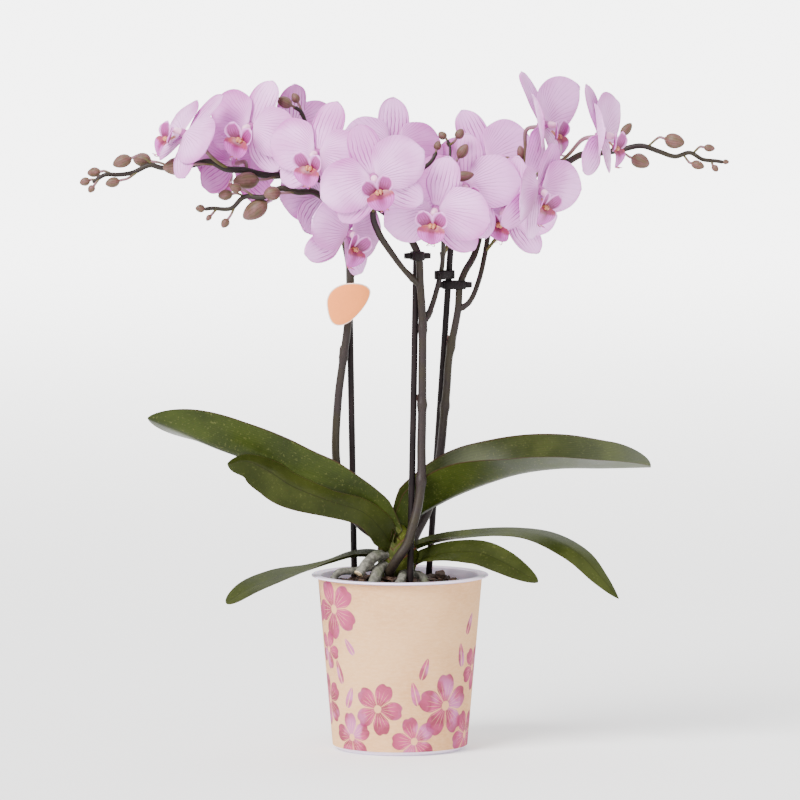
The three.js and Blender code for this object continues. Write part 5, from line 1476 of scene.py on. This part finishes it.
# Pine bark chips: streaked along, dark, with paler breaks.
def chipSkin():
    material, tree, where, *_ = blank("barkChip")
    space = add(tree, "Mapping", where, Scale=(1, 1, 2.6))
    streak = add(tree, "TexNoise", space, every(2.94), 5, 0.65, Distortion=0.5)
    tone = add(tree, "TexNoise", where, every(13.3), 1)
    base = add(tree, "Mix", add(tree, "MapRange", tone, 0.35, 0.65), colour(barkColours["mid"]),
               colour(barkColours["chip"]))
    base = add(tree, "Mix", add(tree, "MapRange", streak, 0.5, 0.75, 0, 0.8), base,
               colour(barkColours["chipPale"]))
    base = add(tree, "Mix", add(tree, "MapRange", streak, 0.42, 0.28), base, colour(barkColours["dark"]))
    return finish(material,
                  {"Base Color": base, "Roughness": 0.85,
                   "Normal": add(tree, "Bump", Height=streak, Distance=0.0006, Strength=0.9)})


def chipInto(skin, x, y, length, rng):
    width = length * rng.uniform(0.35, 0.7)
    thick = length * rng.uniform(0.12, 0.24)
    turn = Matrix.Rotation(rng.uniform(0, 2 * math.pi), 3, "Z")
    tilt = Matrix.Rotation(rng.gauss(0, 0.4), 3, "X") @ Matrix.Rotation(rng.gauss(0, 0.35), 3, "Y")
    shift = Vector((x, y, min(soilHeight(x, y) + thick * 0.5, 91.4 - 0.3 * length * 0.2)))
    rings = []
    steps, rounds = 6, 8
    for i in range(steps):
        u = i / (steps - 1)
        taper = 0.25 + 0.75 * math.sin(math.pi * mix(0.12, 0.88, u)) ** 0.5
        ring = []
        for j in range(rounds):
            a = 2 * math.pi * j / rounds
            wobble = 1 + 0.18 * rng.uniform(-1, 1)
            corner = max(abs(math.cos(a)), abs(math.sin(a)))
            px = (u - 0.5) * length + 0.06 * length * rng.uniform(-1, 1)
            py = width / 2 * math.cos(a) / corner * taper * wobble
            pz = thick / 2 * math.sin(a) / corner * wobble
            ring.append(tuple(shift + turn @ tilt @ Vector((px, py, pz))))
        rings.append(ring)
    skin.loft(rings, ringPlaces([i / (steps - 1) for i in range(steps)], rounds), 1)


def makeSoil():
    skin = Skin()
    reach = potRadius(barkShape["edge"]) - potShape["wall"] - barkShape["gap"]
    shares = np.linspace(1, 0.02, 26)
    rings = []
    for share in shares:
        ring = []
        for a in 2 * math.pi * np.arange(72) / 72:
            x, y = share * reach * math.cos(a), share * reach * math.sin(a)
            rough = noise.noise(Vector((x, y, 3)) * 0.35) * 1.1 + noise.noise(Vector((x, y, 9)) * 0.9) * 0.5
            ring.append((x, y, soilHeight(x, y) + rough - 0.8))
        rings.append(ring)
    low = [(0.96 * x, 0.96 * y, barkShape["low"]) for x, y, z in rings[0]]
    skin.loft([low, *rings], ringPlaces([shares[0], *shares], 72), 0)
    rng = random.Random(barkShape["seed"])
    for n in range(barkShape["chips"]):
        distance = 0.93 * reach * math.sqrt(rng.random())
        bearing = rng.uniform(0, 2 * math.pi)
        length = rng.uniform(*barkShape["length"]) * (1 if n % 5 == 0 else barkShape["small"])
        distance = min(distance, reach - length * 0.55)
        chipInto(skin, distance * math.cos(bearing), distance * math.sin(bearing), length, rng)
    made = skin.piece("bark", [barkSkin(), chipSkin()], ["soil"], "soil")
    made.data.set_sharp_from_angle(angle=math.radians(barkShape["sharp"]))


makePot()
makeSleeve()
makeSoil()
print("pot, sleeve and bark")


# Stakes, from the foot to the top, and what is fastened to them.
stakes = {
    "stake_left": [(-23.8, 16.8, 70), (-26.8, 9.3, 258)],
    "stake_centre": [(4.9, -13.4, 70), (8.6, -4.5, 264)],
    "stake_right": [(14, 25, 70), (26.8, 3.8, 268)],
}

stakeShape = {"radius": 1.7, "sides": 20}
stakeColours = {"rod": ("#140D0F", "#1F1617"), "clip": ("#140E10", "#201819")}
clipShape = {"height": 4.6, "wall": 1.2, "gap": 0.35, "wing": 3.6, "wingHeight": 3.4, "wingBend": 0.9,
             "sides": 16}
clips = {
    "clip_centre": {"stem": "centreMain", "radius": 1.9, "stake": "stake_centre", "height": 259.5,
                    "turn": 1.4},
    "clip_branch": {"stem": "centreRight", "radius": 1.6, "stake": "stake_right", "height": 249,
                    "turn": 0.35},
    "clip_right": {"stem": "rightMain", "radius": 1.7, "stake": "stake_right", "height": 243.6, "turn": 0.35},
}


# Moulded plastic, near black with a dull gloss and a faint uneven grain, drawn coarser than it is.
def darkPlastic(name, tones, rough):
    material, tree, where, *_ = blank(name)
    tone = add(tree, "TexNoise", where, every(14.3), 3)
    fine = add(tree, "TexNoise", where, every(0.769), 2)
    return finish(material, {
        "Base Color": add(tree, "Mix", add(tree, "MapRange", tone, 0.35, 0.7), colour(tones[0]),
                          colour(tones[1])),
        "Roughness": add(tree, "MapRange", fine, 0.3, 0.7, rough - 0.06, rough + 0.08),
        "Specular IOR Level": 0.14,
        "Normal": add(tree, "Bump", Height=fine, Distance=0.00006, Strength=0.4),
    })


def makeStakes():
    skin = darkPlastic("coatedRod", stakeColours["rod"], 0.46)
    for name, (foot, top) in stakes.items():
        foot, top = np.array(foot, dtype=float), np.array(top, dtype=float)
        t = np.concatenate([[0, 0.002], np.linspace(0.01, 0.993, 24), [0.996, 0.998, 0.9992, 1]])
        radii = np.full(len(t), stakeShape["radius"])
        radii[-4:] = stakeShape["radius"] * np.array([0.97, 0.85, 0.6, 0.2])
        made = Skin()
        made.tube(foot + t[:, None] * (top - foot), radii, stakeShape["sides"], 0)
        made.piece("stake." + name[6:], [skin], [name], "stake")


def stakeAt(name, z):
    foot, top = (np.array(end, dtype=float) for end in stakes[name])
    return foot + (top - foot) * (z - foot[2]) / (top[2] - foot[2])


def stemAt(name, z):
    line = stemLines[name]
    return line[np.argmin(np.abs(line[:, 2] - z))]


# Rings round a line that stands upright: the outline's first number goes across it and its second up.
def uprightRings(line, ways, outline):
    rings = []
    for point, way in zip(line, ways):
        normal = unit(np.cross(way, (0, 0, 1)))
        rings.append([point + normal * x + np.array([0, 0, z]) for x, z in outline])
    return rings


# A band round the stem and the stake, with a finger wing at each end.
def makeClips():
    skin = darkPlastic("clipPlastic", stakeColours["clip"], 0.36)
    s = clipShape
    sides = s["sides"]
    outline = []
    for turn in np.linspace(0, 2 * math.pi, sides, endpoint=False):
        flat = [abs(c) ** 0.5 * math.copysign(1, c) for c in (math.cos(turn), math.sin(turn))]
        outline.append((flat[0] * s["wall"] / 2, flat[1] * s["height"] / 2))
    for name, clip in clips.items():
        a, b = stemAt(clip["stem"], clip["height"]), stakeAt(clip["stake"], clip["height"])
        a[2] = b[2] = clip["height"]
        way = unit(b - a)
        other = np.array([-way[1], way[0], 0])
        reach = np.linalg.norm(b - a) / 2
        middle = (a + b) / 2
        half = max(clip["radius"], stakeShape["radius"]) + s["gap"] + s["wall"] / 2
        path = []
        for side in (1, -1):
            for turn in np.linspace(-math.pi / 2, math.pi / 2, 12):
                away = side * reach * way + side * half * (math.cos(turn) * way + math.sin(turn) * other)
                path.append(middle + away)
        ways = [path[(i + 1) % len(path)] - path[i - 1] for i in range(len(path))]
        rings = uprightRings(path, ways, outline)
        rings.append(rings[0])
        made = Skin()
        made.loft(rings, ringPlaces(np.arange(len(rings)) / len(rings), sides), 0, False)
        cosine, sine = math.cos(clip["turn"]), math.sin(clip["turn"])
        out, aside = cosine * way + sine * other, cosine * other - sine * way
        for side in (-1, 1):
            root = middle + side * out * (reach * cosine + half)
            bend = side * s["wingBend"] * aside
            line = curveThrough([root - side * out * 0.5, root + side * out * 1.6 + bend * 0.2,
                                 root + side * out * s["wing"] + bend], 10)
            wing = []
            for i, (point, ahead) in enumerate(zip(line, tangents(line))):
                tall = s["wingHeight"] / s["height"] * (1 - 0.15 * (i / 9) ** 3)
                wing += uprightRings([point], [ahead], [(x * 1.05, z * tall) for x, z in outline])
            made.loft(wing, ringPlaces(np.arange(10) / 10, sides), 0)
        made.piece("clip." + name[5:], [skin], [name], "clip")


# The bare card tag, with its strap round the left stem and stake.
tagShape = {"at": (-27.2, 0.4, 233.6), "thickness": 0.7, "tilt": 6, "edge": 0.12, "sharp": 40}
tagColours = {"card": "#FB964C", "fibre": "#EE8640", "edge": "#F4D8C6"}
strapShape = {"halfWidth": 4.4, "length": 8.1, "thickness": 0.7, "height": 3.2, "aside": 0.6}
# The card's outline as curves: each one's start, its two handles and its end.
tagCorners = [
    [(-11.2, -0.5), (-12, 6), (-7, 11), (1.5, 11.2)],
    [(1.5, 11.2), (8, 11.5), (12.2, 9.4), (11.8, 6)],
    [(11.8, 6), (11.2, 1), (5.5, -5.6), (1, -9)],
    [(1, -9), (-3, -11.6), (-7, -12), (-9, -8.8)],
    [(-9, -8.8), (-10.3, -6.6), (-10.8, -4), (-11.2, -0.5)],
]


# Peach card: matt, with faint fibres drawn coarser than real ones, and a paler cut edge.
def tagCard():
    material, tree, where, along, _ = blank("peachCard")
    fibres = add(tree, "TexNoise", where, every(1.11), 4, 0.7)
    base = add(tree, "Mix", fibres, colour(tagColours["card"]), colour(tagColours["fibre"]))
    edge = add(tree, "MapRange", along, 0.94, 0.975)
    base = add(tree, "Mix", edge, base, colour(tagColours["edge"]))
    return finish(material,
                  {"Base Color": base, "Roughness": 0.8,
                   "Normal": add(tree, "Bump", Height=fibres, Distance=0.0001, Strength=0.3)})


def makeTag():
    t = np.linspace(0, 1, 14, endpoint=False)[:, None]
    s = 1 - t
    outline = []
    for a, b, c, d in np.array(tagCorners):
        outline.append(s ** 3 * a + 3 * s * s * t * b + 3 * s * t * t * c + t ** 3 * d)
    outline = np.vstack(outline)
    depth, edge = tagShape["thickness"], tagShape["edge"]
    tilt = math.radians(tagShape["tilt"])
    steps = [(0.02, -depth), (0.5, -depth), (0.97, -depth), (1.0, edge - depth), (1.0, -edge), (0.97, 0),
             (0.5, 0), (0.02, 0)]
    rings = []
    for share, y in steps:
        x, z = share * outline.T
        flat = [x * math.cos(tilt) - y * math.sin(tilt), x * math.sin(tilt) + y * math.cos(tilt), z]
        rings.append(np.stack(flat, axis=1) + np.array(tagShape["at"]))
    skin = Skin()
    skin.loft(rings, ringPlaces([share for share, y in steps], len(outline)), 0)
    strap = strapShape
    middle = strap["halfWidth"] - strap["thickness"] / 2
    length, across, up = strap["length"], strap["thickness"] / 2, strap["height"] / 2
    path = [(-middle, 0), (-middle, length / 2), (-middle, length)]
    for a in np.linspace(math.pi, 0, 15)[1:-1]:
        path.append((middle * math.cos(a), length + middle * math.sin(a)))
    path += [(middle, length), (middle, length / 2), (middle, 0)]
    path = np.hstack([path, np.zeros((len(path), 1))])
    line = path + np.array(tagShape["at"]) + np.array([strap["aside"], 0, up])
    rings = uprightRings(line, tangents(path), [(across, -up), (across, up), (-across, up), (-across, -up)])
    skin.loft(rings, [[(0.5, 0.5)] * 4] * len(rings), 0)
    made = skin.piece("tag", [tagCard()], ["tag"], "tag")
    made.data.set_sharp_from_angle(angle=math.radians(tagShape["sharp"]))


makeStakes()
makeClips()
makeTag()
print("stakes, clips and tag")


# Matt white backdrop paper: it shows no gloss. It glows, more strongly on the far side of the plant: a
# painted glow that stands in for a studio's background lamps.
def glowingBackdropPaper():
    material, tree, where, *_ = blank("studioFloor")
    haze = add(tree, "TexNoise", where, every(333), 1)
    behind = add(tree, "SeparateXYZ", where).node.outputs["Y"]
    return finish(material, {
        "Base Color": add(tree, "Mix", haze, colour("#FAFAFA"), colour("#F7F7F7")),
        "Roughness": 0.9,
        "Specular IOR Level": 0.1,
        # Painted glow: the floor emits light, stronger the further back it lies.
        "Emission Color": (1, 1, 1, 1),
        "Emission Strength": add(tree, "MapRange", behind, studio["glowFrom"], studio["glowTo"],
                                 *studio["glow"]),
    })


# A plain pale floor, with a painted glow growing towards the back.
def makeFloor():
    half = studio["floor"] / 2
    mesh = bpy.data.meshes.new("floor")
    mesh.from_pydata([(-half, -half, 0), (half, -half, 0), (half, half, 0), (-half, half, 0)], [],
                     [(0, 1, 2, 3)])
    mesh.materials.append(glowingBackdropPaper())
    show(bpy.data.objects.new("floor", mesh))


makeFloor()
